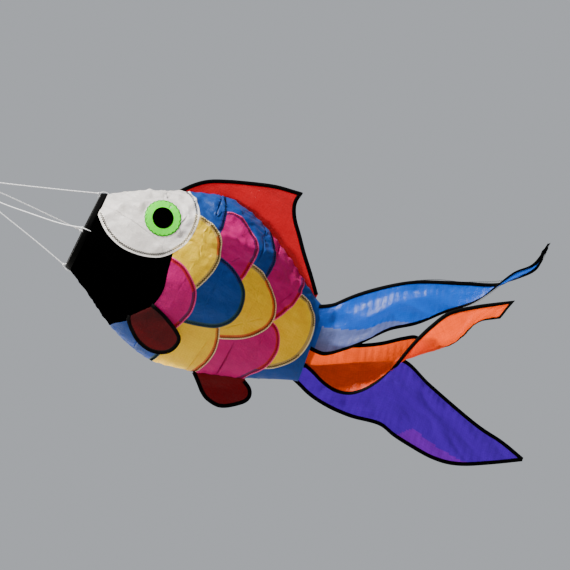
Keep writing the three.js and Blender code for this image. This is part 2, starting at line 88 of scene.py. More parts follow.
TOP = [(0, 83), (70, 128), (142, 162), (196, 184), (245, 194), (290, 190), (337, 175), (402, 144),
       (458, 111), (501, 88), (550, 68)]
BOTTOM = [(0, -83), (60, -112), (120, -145), (180, -170), (247, -180), (348, -158), (428, -131),
          (528, -88), (550, -82)]
FULLNESS = [(0, 1), (80, 0.82), (160, 0.66), (260, 0.6), (380, 0.5), (500, 0.3), (550, 0.22)]
RIM_TOP_X, RIM_BOTTOM_X = 520.0, 541.0
BEYOND = 230.0  # a height past the body's outline, where panels are closed

# Panels from the top layer down: the seam that shows, and the points that close the outline
PANELS = [
    ("head", "white",
     [(FRONT, 42), (38, 14), (78, -1), (119, 0), (156, 12), (179, 32), (197, 62), (203, 101), (195, 136),
      (173, 161), (156, 172)],
     [(150, BEYOND), (FRONT, BEYOND)]),
    ("jaw", "black",
     [(181, 40), (189, -3), (198, -40), (195, -72), (183, -102), (164, -127), (140, -147), (124, -170)],
     [(100, -BEYOND), (FRONT, -BEYOND), (FRONT, 60)]),
    ("scale_pink_front", "pink",
     [(179, 28), (208, 24), (230, 13), (260, -14), (271, -52), (266, -79), (254, -104), (228, -128)],
     [(160, -128), (150, 0)]),
    ("chin", "blue",
     [(240, -80), (257, -112), (257, -150), (247, -184)],
     [(236, -BEYOND), (60, -BEYOND), (60, -100), (170, -60)]),
    ("scale_yellow_front", "yellow",
     [(178, 122), (208, 125), (236, 119), (259, 102), (274, 68), (273, 35), (258, -10), (240, -36)],
     [(180, -30), (150, 60)]),
    ("scale_blue_front", "blue",
     [(228, 205), (236, 190), (247, 163), (252, 136), (250, 110), (240, 86)],
     [(190, 70), (120, 130), (120, BEYOND), (222, BEYOND)]),
    ("scale_blue_middle", "blue",
     [(258, 72), (282, 71), (310, 63), (338, 46), (356, 24), (363, -6), (356, -37), (333, -62),
      (297, -76), (262, -84), (232, -84)],
     [(225, -40), (230, 40)]),
    ("scale_pink_upper", "pink",
     [(236, 160), (262, 168), (289, 163), (318, 143), (334, 121), (341, 90), (336, 50), (322, 20)],
     [(240, 30), (220, 100)]),
    ("scale_yellow_belly", "yellow",
     [(330, -40), (341, -64), (350, -86), (353, -111), (349, -138), (334, -166)],
     [(322, -BEYOND), (200, -BEYOND), (200, -80), (290, -50)]),
    ("scale_yellow_middle", "yellow",
     [(312, 90), (342, 90), (371, 83), (402, 63), (423, 41), (433, 13), (430, -14), (416, -37),
      (390, -60), (351, -79), (320, -90)],
     [(290, -40), (290, 60)]),
    ("scale_blue_upper", "blue",
     [(340, 190), (358, 160), (374, 134), (382, 109), (383, 84), (376, 58)],
     [(330, 40), (230, 100), (222, BEYOND), (325, BEYOND)]),
    ("scale_pink_back", "pink",
     [(450, 140), (459, 112), (463, 82), (458, 51), (441, 14), (424, -8)],
     [(390, 20), (350, 60), (330, BEYOND), (440, BEYOND)]),
    ("scale_pink_belly", "pink",
     [(412, 2), (441, 0), (462, -19), (472, -48), (468, -82), (454, -106), (428, -134)],
     [(410, -BEYOND), (310, -BEYOND), (330, -70)]),
    ("scale_yellow_tail", "yellow",
     [(446, 80), (470, 81), (490, 73), (508, 56), (519, 36), (525, 4), (521, -31), (505, -60),
      (474, -87), (448, -100)],
     [(430, -60), (425, 30)]),
    ("tail_base", "blue", [], [(559, -BEYOND), (380, -BEYOND), (380, BEYOND), (501, BEYOND), (559, 120)]),
]
COLOUR_OF = {name: colour for name, colour, _, _ in PANELS}
STITCH_INSET = {"white": 6.6, "yellow": 4.0, "pink": 4.6, "blue": 4.2, "black": 4.0}

DORSAL = [(139, 163), (161, 190), (186, 211), (222, 229), (269, 248), (316, 264), (358, 272), (375, 275)]
DORSAL_REAR = [(375, 275), (372, 254), (377, 236), (390, 216), (410, 194), (437, 163), (466, 133), (498, 98)]
VENTRAL = [(334, -166), (352, -181), (368, -195), (385, -204), (410, -207), (428, -201), (446, -188),
           (462, -172), (466, -156), (458, -141), (440, -131)]
PECTORAL = [(190, -77), (197, -78), (229, -88), (261, -104), (275, -119), (272, -142), (257, -159),
            (230, -167), (199, -161), (176, -146), (160, -130), (157, -119)]
PECTORAL_LIFT = 4.5
PECTORAL_TIP = (272, 104, -142)

TAILS = {
    "tail_blue": (
        [(523, -11, 79), (567, -13, 133), (607, -14, 170), (657, -15, 206), (705, -15, 232),
         (766, -14, 260), (829, -10, 289), (864, -14, 318), (889, -20, 352), (885, -23, 414)],
        [(530, -15, 33), (574, -24, 61), (615, -30, 92), (657, -32, 146), (705, -32, 178),
         (759, -26, 215), (816, -19, 262), (856, -20, 322), (884, -22, 358), (886, -23, 415)],
        [(535, -11, -14), (563, -15, -12), (601, -19, 21), (630, -22, 57), (664, -24, 96),
         (712, -25, 133), (755, -26, 182), (803, -27, 233), (828, -27, 284), (848, -26, 324),
         (876, -25, 358), (887, -23, 416)]),
    "tail_orange": (
        [(532, 2, 0), (575, 2, 18), (620, 1, 42), (665, 0, 70), (700, -4, 98), (722, -9, 112),
         (752, -24, 108), (782, -36, 122), (802, -42, 150), (817, -45, 188), (864, -48, 224)],
        [(534, 2, -22), (575, 6, -18), (620, 8, -14), (662, 4, 4), (696, -8, 38), (728, -26, 66),
         (764, -40, 102), (790, -47, 150), (818, -50, 198), (868, -50, 246)],
        [(537, 2, -46), (560, 1, -55), (590, -2, -66), (621, -6, -70), (650, -11, -62),
         (672, -16, -42), (692, -22, -6), (706, -27, 40), (722, -33, 104), (738, -38, 148),
         (758, -42, 186), (800, -46, 221), (837, -48, 246), (876, -49, 271)]),
    "tail_purple": (
        [(538, 12, -50), (600, 13, -14), (660, 15, 24), (721, 17, 57), (796, 20, 36), (868, 24, 18),
         (937, 28, 3), (994, 31, -4), (1055, 34, -18)],
        [(540, 12, -68), (600, 20, -54), (660, 25, -40), (730, 26, -16), (800, 28, -26), (868, 30, -36),
         (937, 32, -40), (994, 33, -29), (1055, 34, -19)],
        [(541, 12, -85), (569, 13, -98), (617, 15, -105), (674, 17, -102), (741, 20, -90),
         (777, 22, -98), (822, 24, -103), (866, 26, -105), (905, 28, -100), (939, 30, -88),
         (990, 32, -60), (1055, 34, -20)]),
}
TAIL_COLOUR = {"tail_blue": "blue", "tail_orange": "orange", "tail_purple": "purple"}
TAIL_PAINT = {"tail_blue": "tail_blue", "tail_orange": "orange", "tail_purple": "purple"}
# A second colour along a tail's lower edge: the paint, and the share of the tail's width that has it, at
# shares of the tail's length. On the blue tail this second colour is painted shade: the fish's shadow near
# the root.
PATCHES = {"tail_blue": ("painted_shade_blue", [(0.02, 0.52), (0.26, 0.3), (0.44, 0)]),
           "tail_purple": ("violet", [(0.45, 0), (0.52, 0.24), (0.7, 0.16), (0.84, 0)])}

# The bridle lines' routes from the hem to the ring, in the row frame, in millimetres
AHEAD = MOUTH_X - 3.5 - 3.2
LINES = {
    "top": [(AHEAD, 0, 99), (260, 0, 71), (136, 0, 25.5), (76.2, 0, 6.6)],
    "left": [(AHEAD, -83, 16), (292, -68, 5), (225, -47, -4), (155, -27, -11), (110, -12, -9),
             (79.4, -1.4, -0.3)],
    "bottom": [(AHEAD, 0, -67), (260, 0, -49), (161, 0, -27), (76.2, 0, -6.6)],
    "right": [(AHEAD, 83, 16), (260, 58, 14), (200, 40, 12), (144, 23, 9), (79.4, 1.4, 0.4)],
}
TIE_ANGLES = {"top": math.pi / 2, "left": 0.0, "bottom": -math.pi / 2, "right": math.pi}

JOINTS = {joint["name"]: joint for joint in frame["joints"]}


# ---------------------------------------------------------------- curves
def through(pairs):
    """A smooth function through (x, value) pairs."""
    xs, ys = np.array(pairs, float).T
    last = len(xs) - 1
    slopes = np.array([(ys[min(i + 1, last)] - ys[max(i - 1, 0)]) / (xs[min(i + 1, last)] - xs[max(i - 1, 0)])
                       for i in range(last + 1)])

    def value(x):
        i = np.clip(np.searchsorted(xs, x) - 1, 0, last - 1)
        span = xs[i + 1] - xs[i]
        t = (x - xs[i]) / span
        h = t * t * (3 - 2 * t)
        bend = span * t * (1 - t) * (slopes[i] * (1 - t) - slopes[i + 1] * t)
        return ys[i] * (1 - h) + ys[i + 1] * h + bend
    return value


def cubic_span(start, end, leave, arrive, per_span):
    """Points of a cubic curve from start, up to but without end, with the given speeds at its two ends."""
    return [(2 * start - 2 * end + leave + arrive) * t ** 3
            + (-3 * start + 3 * end - 2 * leave - arrive) * t ** 2 + leave * t + start
            for t in np.arange(per_span) / per_span]


def spline(points, per_span=8):
    """A uniform Catmull-Rom curve, with its end points repeated."""
    p = np.array(points, float)
    p = np.vstack([p[0], p, p[-1]])
    out = []
    for i in range(1, len(p) - 2):
        leave, arrive = (p[i + 1] - p[i - 1]) / 2, (p[i + 2] - p[i]) / 2
        out += cubic_span(p[i], p[i + 1], leave, arrive, per_span)
    return np.array(out + [p[-2]])


def centripetal(points, per_span=24):
    """A centripetal Catmull-Rom curve in space, with its ends taken on in a straight line."""
    p = np.array(points, float)
    p = np.vstack([2 * p[0] - p[1], p, 2 * p[-1] - p[-2]])
    out = []
    for i in range(1, len(p) - 2):
        d0, d1, d2 = (math.sqrt(np.linalg.norm(p[i + k] - p[i + k - 1])) for k in (0, 1, 2))
        v0 = ((p[i] - p[i - 1]) / d0 - (p[i + 1] - p[i - 1]) / (d0 + d1) + (p[i + 1] - p[i]) / d1) * d1
        v1 = ((p[i + 1] - p[i]) / d1 - (p[i + 2] - p[i]) / (d1 + d2) + (p[i + 2] - p[i + 1]) / d2) * d1
        out += cubic_span(p[i], p[i + 1], v0, v1, per_span)
    return np.array(out + [p[-2]])


def lengths(points):
    return np.concatenate([[0], np.cumsum(np.linalg.norm(np.diff(points, axis=0), axis=1))])


def spaced(points, step=None, count=None):
    """The same line with its points evenly spaced."""
    points = np.array(points, float)
    along = lengths(points)
    count = count or max(2, int(round(along[-1] / step)) + 1)
    at = np.linspace(0, along[-1], count)
    return np.stack([np.interp(at, along, points[:, k]) for k in range(points.shape[1])], axis=1)


def unit(vectors):
    return vectors / np.maximum(np.linalg.norm(vectors, axis=-1, keepdims=True), 1e-12)


def ease(t):
    t = np.clip(t, 0, 1)
    return t * t * (3 - 2 * t)


def ripple(x, y, z=0.0):
    """Smooth noise from -1 to 1 at each of the given points."""
    z = np.broadcast_to(z, np.shape(x))
    return np.array([noise.noise(Vector(p)) for p in zip(np.ravel(x), np.ravel(y), np.ravel(z))]).reshape(
        np.shape(x)) * 1.6


# ---------------------------------------------------------------- the body's skin
top, bottom, fullness = through(TOP), through(BOTTOM), through(FULLNESS)
STATIONS = np.arange(0.0, 566.0, 2.0)
ANGLES = np.linspace(-math.pi / 2, math.pi / 2, 181)


def section(x):
    """Half height, middle height and half width of the body."""
    half = (top(x) - bottom(x)) / 2
    return half, (top(x) + bottom(x)) / 2, half * fullness(x)


def arc_table():
    """The distance round the skin from the side's middle line, by station and angle."""
    half, _, width = section(STATIONS[:, None])
    step = np.hypot(np.diff(width * np.cos(ANGLES), axis=1), np.diff(half * np.sin(ANGLES), axis=1))
    arc = np.concatenate([np.zeros((len(STATIONS), 1)), np.cumsum(step, axis=1)], axis=1)
    return arc - arc[:, len(ANGLES) // 2, None]


ARC = arc_table()


def arc_rows(x):
    at = np.clip((x - STATIONS[0]) / (STATIONS[1] - STATIONS[0]), 0, len(STATIONS) - 1.001)
    i = at.astype(int)
    share = (at - i)[:, None]
    return ARC[i] * (1 - share) + ARC[i + 1] * share


def angle_of(x, w):
    rows = arc_rows(x)
    k = np.clip((rows < w[:, None]).sum(axis=1), 1, len(ANGLES) - 1)
    n = np.arange(len(x))
    low, high = rows[n, k - 1], rows[n, k]
    return ANGLES[k - 1] + np.clip((w - low) / (high - low), 0, 1) * (ANGLES[1] - ANGLES[0])


def flat_of(points):
    """Points of the side view, (x, z), laid flat on the cloth as (x, w)."""
    x, z = np.array(points, float).T
    half, mid, _ = section(x)
    ratio = (z - mid) / half
    rows = arc_rows(x)
    at = (np.arcsin(np.clip(ratio, -1, 1)) - ANGLES[0]) / (ANGLES[1] - ANGLES[0])
    i = np.clip(at.astype(int), 0, len(ANGLES) - 2)
    n = np.arange(len(x))
    w = rows[n, i] + (at - i) * (rows[n, i + 1] - rows[n, i])
    beyond = np.maximum(np.abs(ratio) - 1, 0) * half
    return np.stack([x, w + np.sign(ratio) * beyond], axis=1)


def half_girth(x):
    return arc_rows(np.atleast_1d(np.asarray(x, float)))[:, -1]


def skin(x, w, side):
    angle = angle_of(x, w)
    half, mid, width = section(x)
    return np.stack([x, side * width * np.cos(angle), mid + half * np.sin(angle)], axis=1)


def skin_normal(x, w, side):
    step = 0.5
    inner = np.clip(w, -half_girth(x) + 2 * step, half_girth(x) - 2 * step)
    along = skin(x + step, inner, side) - skin(x - step, inner, side)
    over = skin(x, inner + step, side) - skin(x, inner - step, side)
    return unit(np.cross(over, along) * side)


def around_mouth(x, lift, angle):
    """A point that stands off the skin by lift, at an angle round the body from its left side."""
    half, mid, width = section(np.maximum(x, 0.0))
    return np.array([x, -(width + lift) * math.cos(angle), mid + (half + lift) * math.sin(angle)])


# ---------------------------------------------------------------- meshes
def row(points):
    return (np.asarray(points, float) + ORIGIN) * 0.001


def mesh_object(name, points, faces, materials, face_material=None, uv=None, in_row=False, smooth=True):
    """A mesh object from points in millimetres, with a uv map in millimetres of cloth."""
    mesh = bpy.data.meshes.new(name)
    places = np.asarray(points, float) * 0.001 if in_row else row(points)
    mesh.from_pydata(places.tolist(), [], [tuple(int(i) for i in face) for face in faces])
    for material in materials:
        mesh.materials.append(material)
    if face_material is not None:
        mesh.polygons.foreach_set("material_index", np.asarray(face_material, np.int32))
    mesh.polygons.foreach_set("use_smooth", np.full(len(mesh.polygons), smooth))
    if uv is not None:
        layer = mesh.uv_layers.new(name="cloth")
        corner = np.zeros(len(mesh.loops), np.int32)
        mesh.loops.foreach_get("vertex_index", corner)
        layer.data.foreach_set("uv", np.asarray(uv, np.float32)[corner].ravel())
    mesh.update()
    obj = bpy.data.objects.new(name, mesh)
    bpy.context.scene.collection.objects.link(obj)
    return obj


def joined(parts):
    """Several (points, faces) as one."""
    points, faces, start = [], [], 0
    for part_points, part_faces in parts:
        points.append(np.asarray(part_points, float))
        faces.extend([tuple(i + start for i in face) for face in part_faces])
        start += len(part_points)
    return np.vstack(points), faces


def tangents_along(points, closed=False):
    if closed:
        return unit(np.roll(points, -1, axis=0) - np.roll(points, 1, axis=0))
    return unit(np.gradient(points, axis=0))


def sweep(points, sides_a, sides_b, profile, closed=False):
    """A closed tube: profile is (a, b) pairs along the two side directions given at each point. A profile
    may be one for all points or one for each."""
    points = np.asarray(points, float)
    profile = np.asarray(profile, float)
    if profile.ndim == 2:
        profile = np.broadcast_to(profile, (len(points),) + profile.shape)
    count = profile.shape[1]
    rings = points[:, None] + profile[..., :1] * sides_a[:, None] + profile[..., 1:] * sides_b[:, None]
    faces = []
    spans = len(points) if closed else len(points) - 1
    for i in range(spans):
        a, b = i * count, ((i + 1) % len(points)) * count
        for j in range(count):
            k = (j + 1) % count
            faces.append((a + j, a + k, b + k, b + j))
    if not closed:
        faces.append(tuple(range(count - 1, -1, -1)))
        faces.append(tuple(range((len(points) - 1) * count, len(points) * count)))
    return rings.reshape(-1, 3), faces


def carried(points, closed=False):
    """Two side directions for each point of a line, carried along it without turning."""
    tangent = tangents_along(points, closed)
    start = np.array([0.0, 0.0, 1.0]) if abs(tangent[0][2]) < 0.9 else np.array([1.0, 0.0, 0.0])
    a = unit(np.cross(tangent[0], start))
    out = []
    for t in tangent:
        a = unit(a - t * (a @ t))
        out.append(a)
    out = np.array(out)
    return out, np.cross(tangent, out)


def rope(points, radius, lay=0.0, strands=3, sides=12, closed=False):
    """A cord of twisted strands along a line: its section's lobes turn once in each lay."""
    points = np.asarray(points, float)
    a, b = carried(points, closed)
    along = lengths(points)
    turn = np.arange(sides) * 2 * math.pi / sides
    if lay:
        lobes = np.abs(np.cos(strands / 2 * (turn[None] - 2 * math.pi * along[:, None] / lay)))
        reach = radius * (0.84 + 0.22 * lobes)
    else:
        reach = np.full((len(points), sides), radius)
    profile = np.stack([np.cos(turn) * reach, np.sin(turn) * reach], axis=2)
    return sweep(points, a, b, profile, closed)


def ring_faces(turns, count):
    """The faces of a closed ring, made of turns profiles of count points each."""
    faces = []
    for i in range(turns):
        for j in range(count):
            k, n = (j + 1) % count, (i + 1) % turns
            faces.append((i * count + j, i * count + k, n * count + k, n * count + j))
    return faces


def lathe_x(profile, turns):
    """A closed ring profile of (x, radius) turned round the X axis."""
    points = []
    for i in range(turns):
        angle = 2 * math.pi * i / turns
        points += [(x, radius * math.cos(angle), radius * math.sin(angle)) for x, radius in profile]
    return np.array(points), ring_faces(turns, len(profile))


def outward(obj):
    """Turns a closed mesh's faces outwards."""
    work = bmesh.new()
    work.from_mesh(obj.data)
    bmesh.ops.recalc_face_normals(work, faces=work.faces)
    work.to_mesh(obj.data)
    work.free()
    return obj


def finish_piece(obj, body, slot, *nodes):
    """Gives a piece its body and hides the CAD nodes that it replaces, if any. slot is not used."""
    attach(obj, body)
    if nodes:
        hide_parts(*nodes)
    return obj


def closed_piece(name, shape, material, body, slot, *nodes, in_row=False, smooth=True):
    """A finished piece from the points and faces of a closed shape, in one material."""
    obj = outward(mesh_object(name, *shape, [material], in_row=in_row, smooth=smooth))
    return finish_piece(obj, body, slot, *nodes)


# ---------------------------------------------------------------- materials
def linear(colour):
    """A colour given in display values from 0 to 255, as linear light."""
    return tuple(((c / 255 + 0.055) / 1.055) ** 2.4 if c > 10 else c / 255 / 12.92 for c in colour)


class Nodes:
    """A small helper that adds and joins shader nodes."""

    def __init__(self, name):
        self.material = bpy.data.materials.new(name)
        self.material.use_nodes = True
        self.tree = self.material.node_tree
        self.tree.nodes.clear()
        self.out = self.tree.nodes.new("ShaderNodeOutputMaterial")

    def add(self, kind, inputs=(), **settings):
        node = self.tree.nodes.new(kind)
        for key, value in settings.items():
            setattr(node, key, value)
        for key, value in dict(inputs).items():
            if isinstance(value, bpy.types.NodeSocket):
                self.tree.links.new(value, node.inputs[key])
            else:
                node.inputs[key].default_value = value
        return node

    def math(self, operation, a, b=0.0, clamp=False):
        return self.add("ShaderNodeMath", {0: a, 1: b}, operation=operation, use_clamp=clamp).outputs[0]

    def mix(self, share, a, b):
        node = self.add("ShaderNodeMix", {0: share, 6: a, 7: b}, data_type="RGBA")
        return node.outputs[2]

    def finish(self, shader):
        self.tree.links.new(shader.outputs[0], self.out.inputs[0])
        return self.material

    def grid_line(self, value, pitch, sharp):
        turned = self.math("MULTIPLY", value, math.pi / pitch)
        return self.math("POWER", self.math("ABSOLUTE", self.math("COSINE", turned)), sharp)


def shade(colour, factor):
    return tuple(min(1.0, c * factor) for c in colour) + (1.0,)


def cloth(name, colour, glow=None, share=0.45, roughness=0.38, sheen=0.04, grid=0.16, crinkle=0.6,
          specular=0.4):
    """Coated ripstop: a plain weave with a thicker thread every few millimetres. glow is the colour that
    shines through it, and share is how much of the light it lets through."""
    n = Nodes(name)
    colour = linear(colour)
    glow = linear(glow) if glow else colour
    uv = n.add("ShaderNodeUVMap", uv_map="cloth").outputs[0]
    parts = n.add("ShaderNodeSeparateXYZ", {0: uv})
    u, v = parts.outputs[0], parts.outputs[1]
    ripstop = n.math("MAXIMUM", n.grid_line(u, 5.0, 26.0), n.grid_line(v, 5.0, 26.0))
    weave = n.math("MULTIPLY", n.grid_line(u, 0.7, 2.0), n.grid_line(v, 0.7, 2.0))
    patchy = n.add("ShaderNodeTexNoise", {"Vector": uv, "Scale": 0.018, "Detail": 3.0, "Roughness": 0.6})
    streaky = n.add("ShaderNodeTexNoise", {"Vector": uv, "Scale": 0.11, "Detail": 4.0, "Distortion": 1.2})
    tone = n.math("ADD", n.math("MULTIPLY", patchy.outputs[0], 0.6),
                  n.math("MULTIPLY", streaky.outputs[0], 0.4))
    tone = n.math("MULTIPLY", n.math("SUBTRACT", tone, 0.3, True), 2.2, True)
    body = n.mix(tone, shade(colour, 0.80), shade(colour, 1.16))
    body = n.mix(n.math("MULTIPLY", ripstop, grid), body, shade(colour, 0.55))
    through_it = n.mix(tone, shade(glow, 0.84), shade(glow, 1.14))
    through_it = n.mix(n.math("MULTIPLY", ripstop, grid * 1.3), through_it, shade(glow, 0.45))
    creases = n.add("ShaderNodeTexNoise", {"Vector": uv, "Scale": 0.16, "Detail": 5.0, "Roughness": 0.62,
                                           "Distortion": 0.6})
    height = n.math("ADD", n.math("MULTIPLY", creases.outputs[0], crinkle * 2.4),
                    n.math("ADD", n.math("MULTIPLY", ripstop, 0.07), n.math("MULTIPLY", weave, 0.03)))
    bump = n.add("ShaderNodeBump", {"Strength": 0.9, "Distance": 0.001, "Height": height})
    gloss = n.add("ShaderNodeMapRange", {0: tone, 1: 0.0, 2: 1.0, 3: roughness - 0.05, 4: roughness + 0.09})
    face = n.add("ShaderNodeBsdfPrincipled", {
        "Base Color": body, "Roughness": gloss.outputs[0], "Specular IOR Level": specular,
        "Sheen Weight": sheen, "Sheen Roughness": 0.4, "Normal": bump.outputs[0]})
    if share <= 0:
        return n.finish(face)
    lit = n.add("ShaderNodeBsdfTranslucent", {"Color": through_it, "Normal": bump.outputs[0]})
    both = n.add("ShaderNodeMixShader", {0: share, 1: face.outputs[0], 2: lit.outputs[0]})
    return n.finish(both)


def tape(name, colour, pitch=0.9):
    """Binding tape, thread, cord or rod: fine ribs and a little wear."""
    n = Nodes(name)
    colour = linear(colour)
    where = n.add("ShaderNodeTexCoord").outputs["Object"]
    ribs = n.add("ShaderNodeTexWave", {"Vector": where, "Scale": 1 / (pitch * 0.004), "Distortion": 0.6,
                                       "Detail": 1.0}, bands_direction="DIAGONAL")
    wear = n.add("ShaderNodeTexNoise", {"Vector": where, "Scale": 90.0, "Detail": 5.0})
    body = n.mix(n.math("MULTIPLY", wear.outputs[0], 0.8), shade(colour, 0.8), shade(colour, 1.3))
    height = n.math("ADD", n.math("MULTIPLY", ribs.outputs[0], 0.5), wear.outputs[0])
    bump = n.add("ShaderNodeBump", {"Strength": 0.5, "Distance": 0.0005, "Height": height})
    face = n.add("ShaderNodeBsdfPrincipled", {
        "Base Color": body, "Roughness": 0.7, "Specular IOR Level": 0.03, "Normal": bump.outputs[0]})
    return n.finish(face)


def metal(name, colour, roughness):
    """Plated wire with fine scratches and small dull patches."""
    n = Nodes(name)
    where = n.add("ShaderNodeTexCoord").outputs["Object"]
    dull = n.add("ShaderNodeTexNoise", {"Vector": where, "Scale": 260.0, "Detail": 6.0, "Roughness": 0.7})
    rough = n.add("ShaderNodeMapRange",
                  {0: dull.outputs[0], 1: 0.3, 2: 0.7, 3: roughness, 4: roughness + 0.2})
    body = n.mix(dull.outputs[0], shade(colour, 0.7), shade(colour, 1.1))
    bump = n.add("ShaderNodeBump", {"Strength": 0.15, "Distance": 0.0002, "Height": dull.outputs[0]})
    face = n.add("ShaderNodeBsdfPrincipled", {
        "Base Color": body, "Metallic": 1.0, "Roughness": rough.outputs[0], "Normal": bump.outputs[0]})
    return n.finish(face)


def plain_floor(name, colour):
    n = Nodes(name)
    where = n.add("ShaderNodeTexCoord").outputs["Object"]
    soft = n.add("ShaderNodeTexNoise", {"Vector": where, "Scale": 0.7, "Detail": 2.0})
    body = n.mix(soft.outputs[0], shade(colour, 0.97), shade(colour, 1.03))
    face = n.add("ShaderNodeBsdfPrincipled", {"Base Color": body, "Roughness": 0.9})
    return n.finish(face)


PAINT = {
    "white": dict(colour=(208, 205, 203), glow=(222, 216, 210), share=0.28, grid=0.04),
    "black": dict(colour=(1, 1, 1), share=0.0, grid=0.3, crinkle=0.1, specular=0.0, sheen=0.0, roughness=0.7),
    "green": dict(colour=(70, 226, 12), glow=(70, 226, 8), share=0.25, grid=0.08),
    "blue": dict(colour=(6, 66, 144), glow=(1, 52, 150), share=0.45, specular=0.35, roughness=0.42),
    "yellow": dict(colour=(255, 212, 26), glow=(255, 196, 6), share=0.5),
    "pink": dict(colour=(190, 0, 112), glow=(190, 0, 112), share=0.45, specular=0.25, roughness=0.42),
    "red": dict(colour=(158, 0, 14), glow=(160, 0, 14), share=0.5),
    # the pectoral and ventral fins' dark red is partly their doubled cloth and partly painted shade, since
    # they face down, away from the light
    "dark_red": dict(colour=(58, 1, 4), glow=(84, 0, 3), share=0.3, specular=0.14, sheen=0.0),
    "orange": dict(colour=(238, 70, 0), glow=(244, 80, 0), share=0.5, specular=0.2),
    "purple": dict(colour=(42, 0, 112), glow=(60, 0, 146), share=0.5, specular=0.1, sheen=0.0),
    "tail_blue": dict(colour=(0, 64, 158), glow=(0, 76, 184), share=0.5),
    # painted shade: the greyish blue where the fish's shadow falls on the blue tail's root
    "painted_shade_blue": dict(colour=(86, 96, 144), glow=(84, 98, 156), share=0.5, sheen=0.1),
    "violet": dict(colour=(70, 0, 112), glow=(92, 0, 150), share=0.5, specular=0.1, sheen=0.0),
}
# the colour, the colour of the light that comes through, and how much of it does
BANDS = {
    ("white", "black"): ((226, 220, 212), (120, 112, 104), 0.1),
    ("white", "yellow"): ((238, 226, 196), (236, 206, 150), 0.3),
    ("white", "blue"): ((222, 224, 228), (150, 170, 200), 0.25),
    ("white", "pink"): ((236, 222, 222), (236, 170, 190), 0.3),
    ("pink", "yellow"): ((180, 12, 36), (196, 20, 14), 0.45),
    ("pink", "blue"): ((104, 6, 84), (52, 0, 80), 0.35),
    ("pink", "pink"): ((160, 2, 62), (156, 0, 50), 0.4),
    ("yellow", "pink"): ((212, 112, 36), (216, 64, 14), 0.45),
    ("yellow", "blue"): ((196, 160, 84), (120, 116, 40), 0.4),
    ("yellow", "yellow"): ((206, 136, 34), (214, 112, 8), 0.45),
    ("blue", "pink"): ((22, 40, 110), (14, 10, 80), 0.35),
    ("blue", "yellow"): ((10, 62, 84), (6, 56, 40), 0.35),
    ("blue", "blue"): ((16, 66, 140), (8, 52, 140), 0.4),
}
EDGES = {"yellow": ((250, 236, 180), (250, 226, 150), 0.5),
         "white": ((246, 242, 236), (240, 236, 236), 0.4),
         "pink": ((240, 70, 150), (240, 40, 130), 0.5)}
CLOTHS = {}


def cloth_of(kind, *which):
    """The material of a colour, of a band of one colour over another, or of a raw edge."""
    key = (kind,) + which
    if key not in CLOTHS:
        if kind == "main":
            CLOTHS[key] = cloth(f"ripstop_{which[0]}", **PAINT[which[0]])
        elif kind == "band":
            CLOTHS[key] = cloth(f"seam_{which[0]}_over_{which[1]}", *BANDS[which])
        else:
            CLOTHS[key] = cloth(f"edge_{which[0]}", *EDGES[which[0]])
    return CLOTHS[key]


BINDING = tape("binding_tape", (2, 2, 2))
THREAD = tape("thread_black", (3, 3, 4), pitch=0.4)
THREAD_RED = tape("thread_dark_red", (110, 4, 40), pitch=0.4)
CORD = tape("braided_cord", (244, 245, 248), pitch=0.5)
ROD = tape("fibreglass_rod", (44, 44, 46), pitch=0.3)
STEEL = metal("nickel_plate", (0.62, 0.63, 0.64), 0.2)
BRASS = metal("dull_brass", (0.5, 0.38, 0.16), 0.28)


# ---------------------------------------------------------------- the body, laid flat and cut into panels
def seam_lines():
    """Each panel's visible seam, flat, or None where a panel has none."""
    return [spaced(flat_of(spline(edge)), 3.0) if edge else None for _, _, edge, _ in PANELS]


def outline_of(index, seams):
    _, _, edge, inside = PANELS[index]
    closing = flat_of(inside)
    return closing if seams[index] is None else np.vstack([seams[index], closing])


def inward(seam, outline):
    """For each point of a seam, the direction into its panel."""
    tangent = tangents_along(seam)
    side = np.stack([-tangent[:, 1], tangent[:, 0]], axis=1)
    middle = len(seam) // 2
    return side if inside_outline(seam[middle] + 2 * side[middle], outline) else -side


def inside_outline(point, outline):
    x, y = point
    a, b = outline, np.roll(outline, -1, axis=0)
    crosses = (a[:, 1] > y) != (b[:, 1] > y)
    with np.errstate(divide="ignore", invalid="ignore"):
        at = a[:, 0] + (y - a[:, 1]) / (b[:, 1] - a[:, 1]) * (b[:, 0] - a[:, 0])
    return bool((crosses & (x < at)).sum() % 2)


def counter_clockwise(outline):
    ahead = np.roll(outline, -1, axis=0)
    area = (outline[:, 0] * ahead[:, 1] - ahead[:, 0] * outline[:, 1]).sum()
    return outline if area > 0 else outline[::-1]


def domain_outline():
    xs = np.linspace(FRONT, RIM_TOP_X, 130)
    upper = np.stack([xs, half_girth(xs)], axis=1)
    rim_z = np.linspace(float(top(RIM_TOP_X)), float(bottom(RIM_BOTTOM_X)), 60)
    rim_x = np.linspace(RIM_TOP_X, RIM_BOTTOM_X, 60)
    rim = spaced(flat_of(np.stack([rim_x, rim_z], axis=1)), 3.0)
    xs = np.linspace(RIM_BOTTOM_X, FRONT, 132)
    lower = np.stack([xs, -half_girth(xs)], axis=1)
    girth = float(half_girth(FRONT)[0])
    front = np.stack([np.full(64, FRONT), np.linspace(-girth, girth, 64)], axis=1)
    return np.vstack([upper, rim[1:], lower[1:], front[1:-1]])


def tree_of(points):
    """A search tree of flat points."""
    tree = KDTree(len(points))
    for k, p in enumerate(points):
        tree.insert((p[0], p[1], 0), k)
    tree.balance()
    return tree


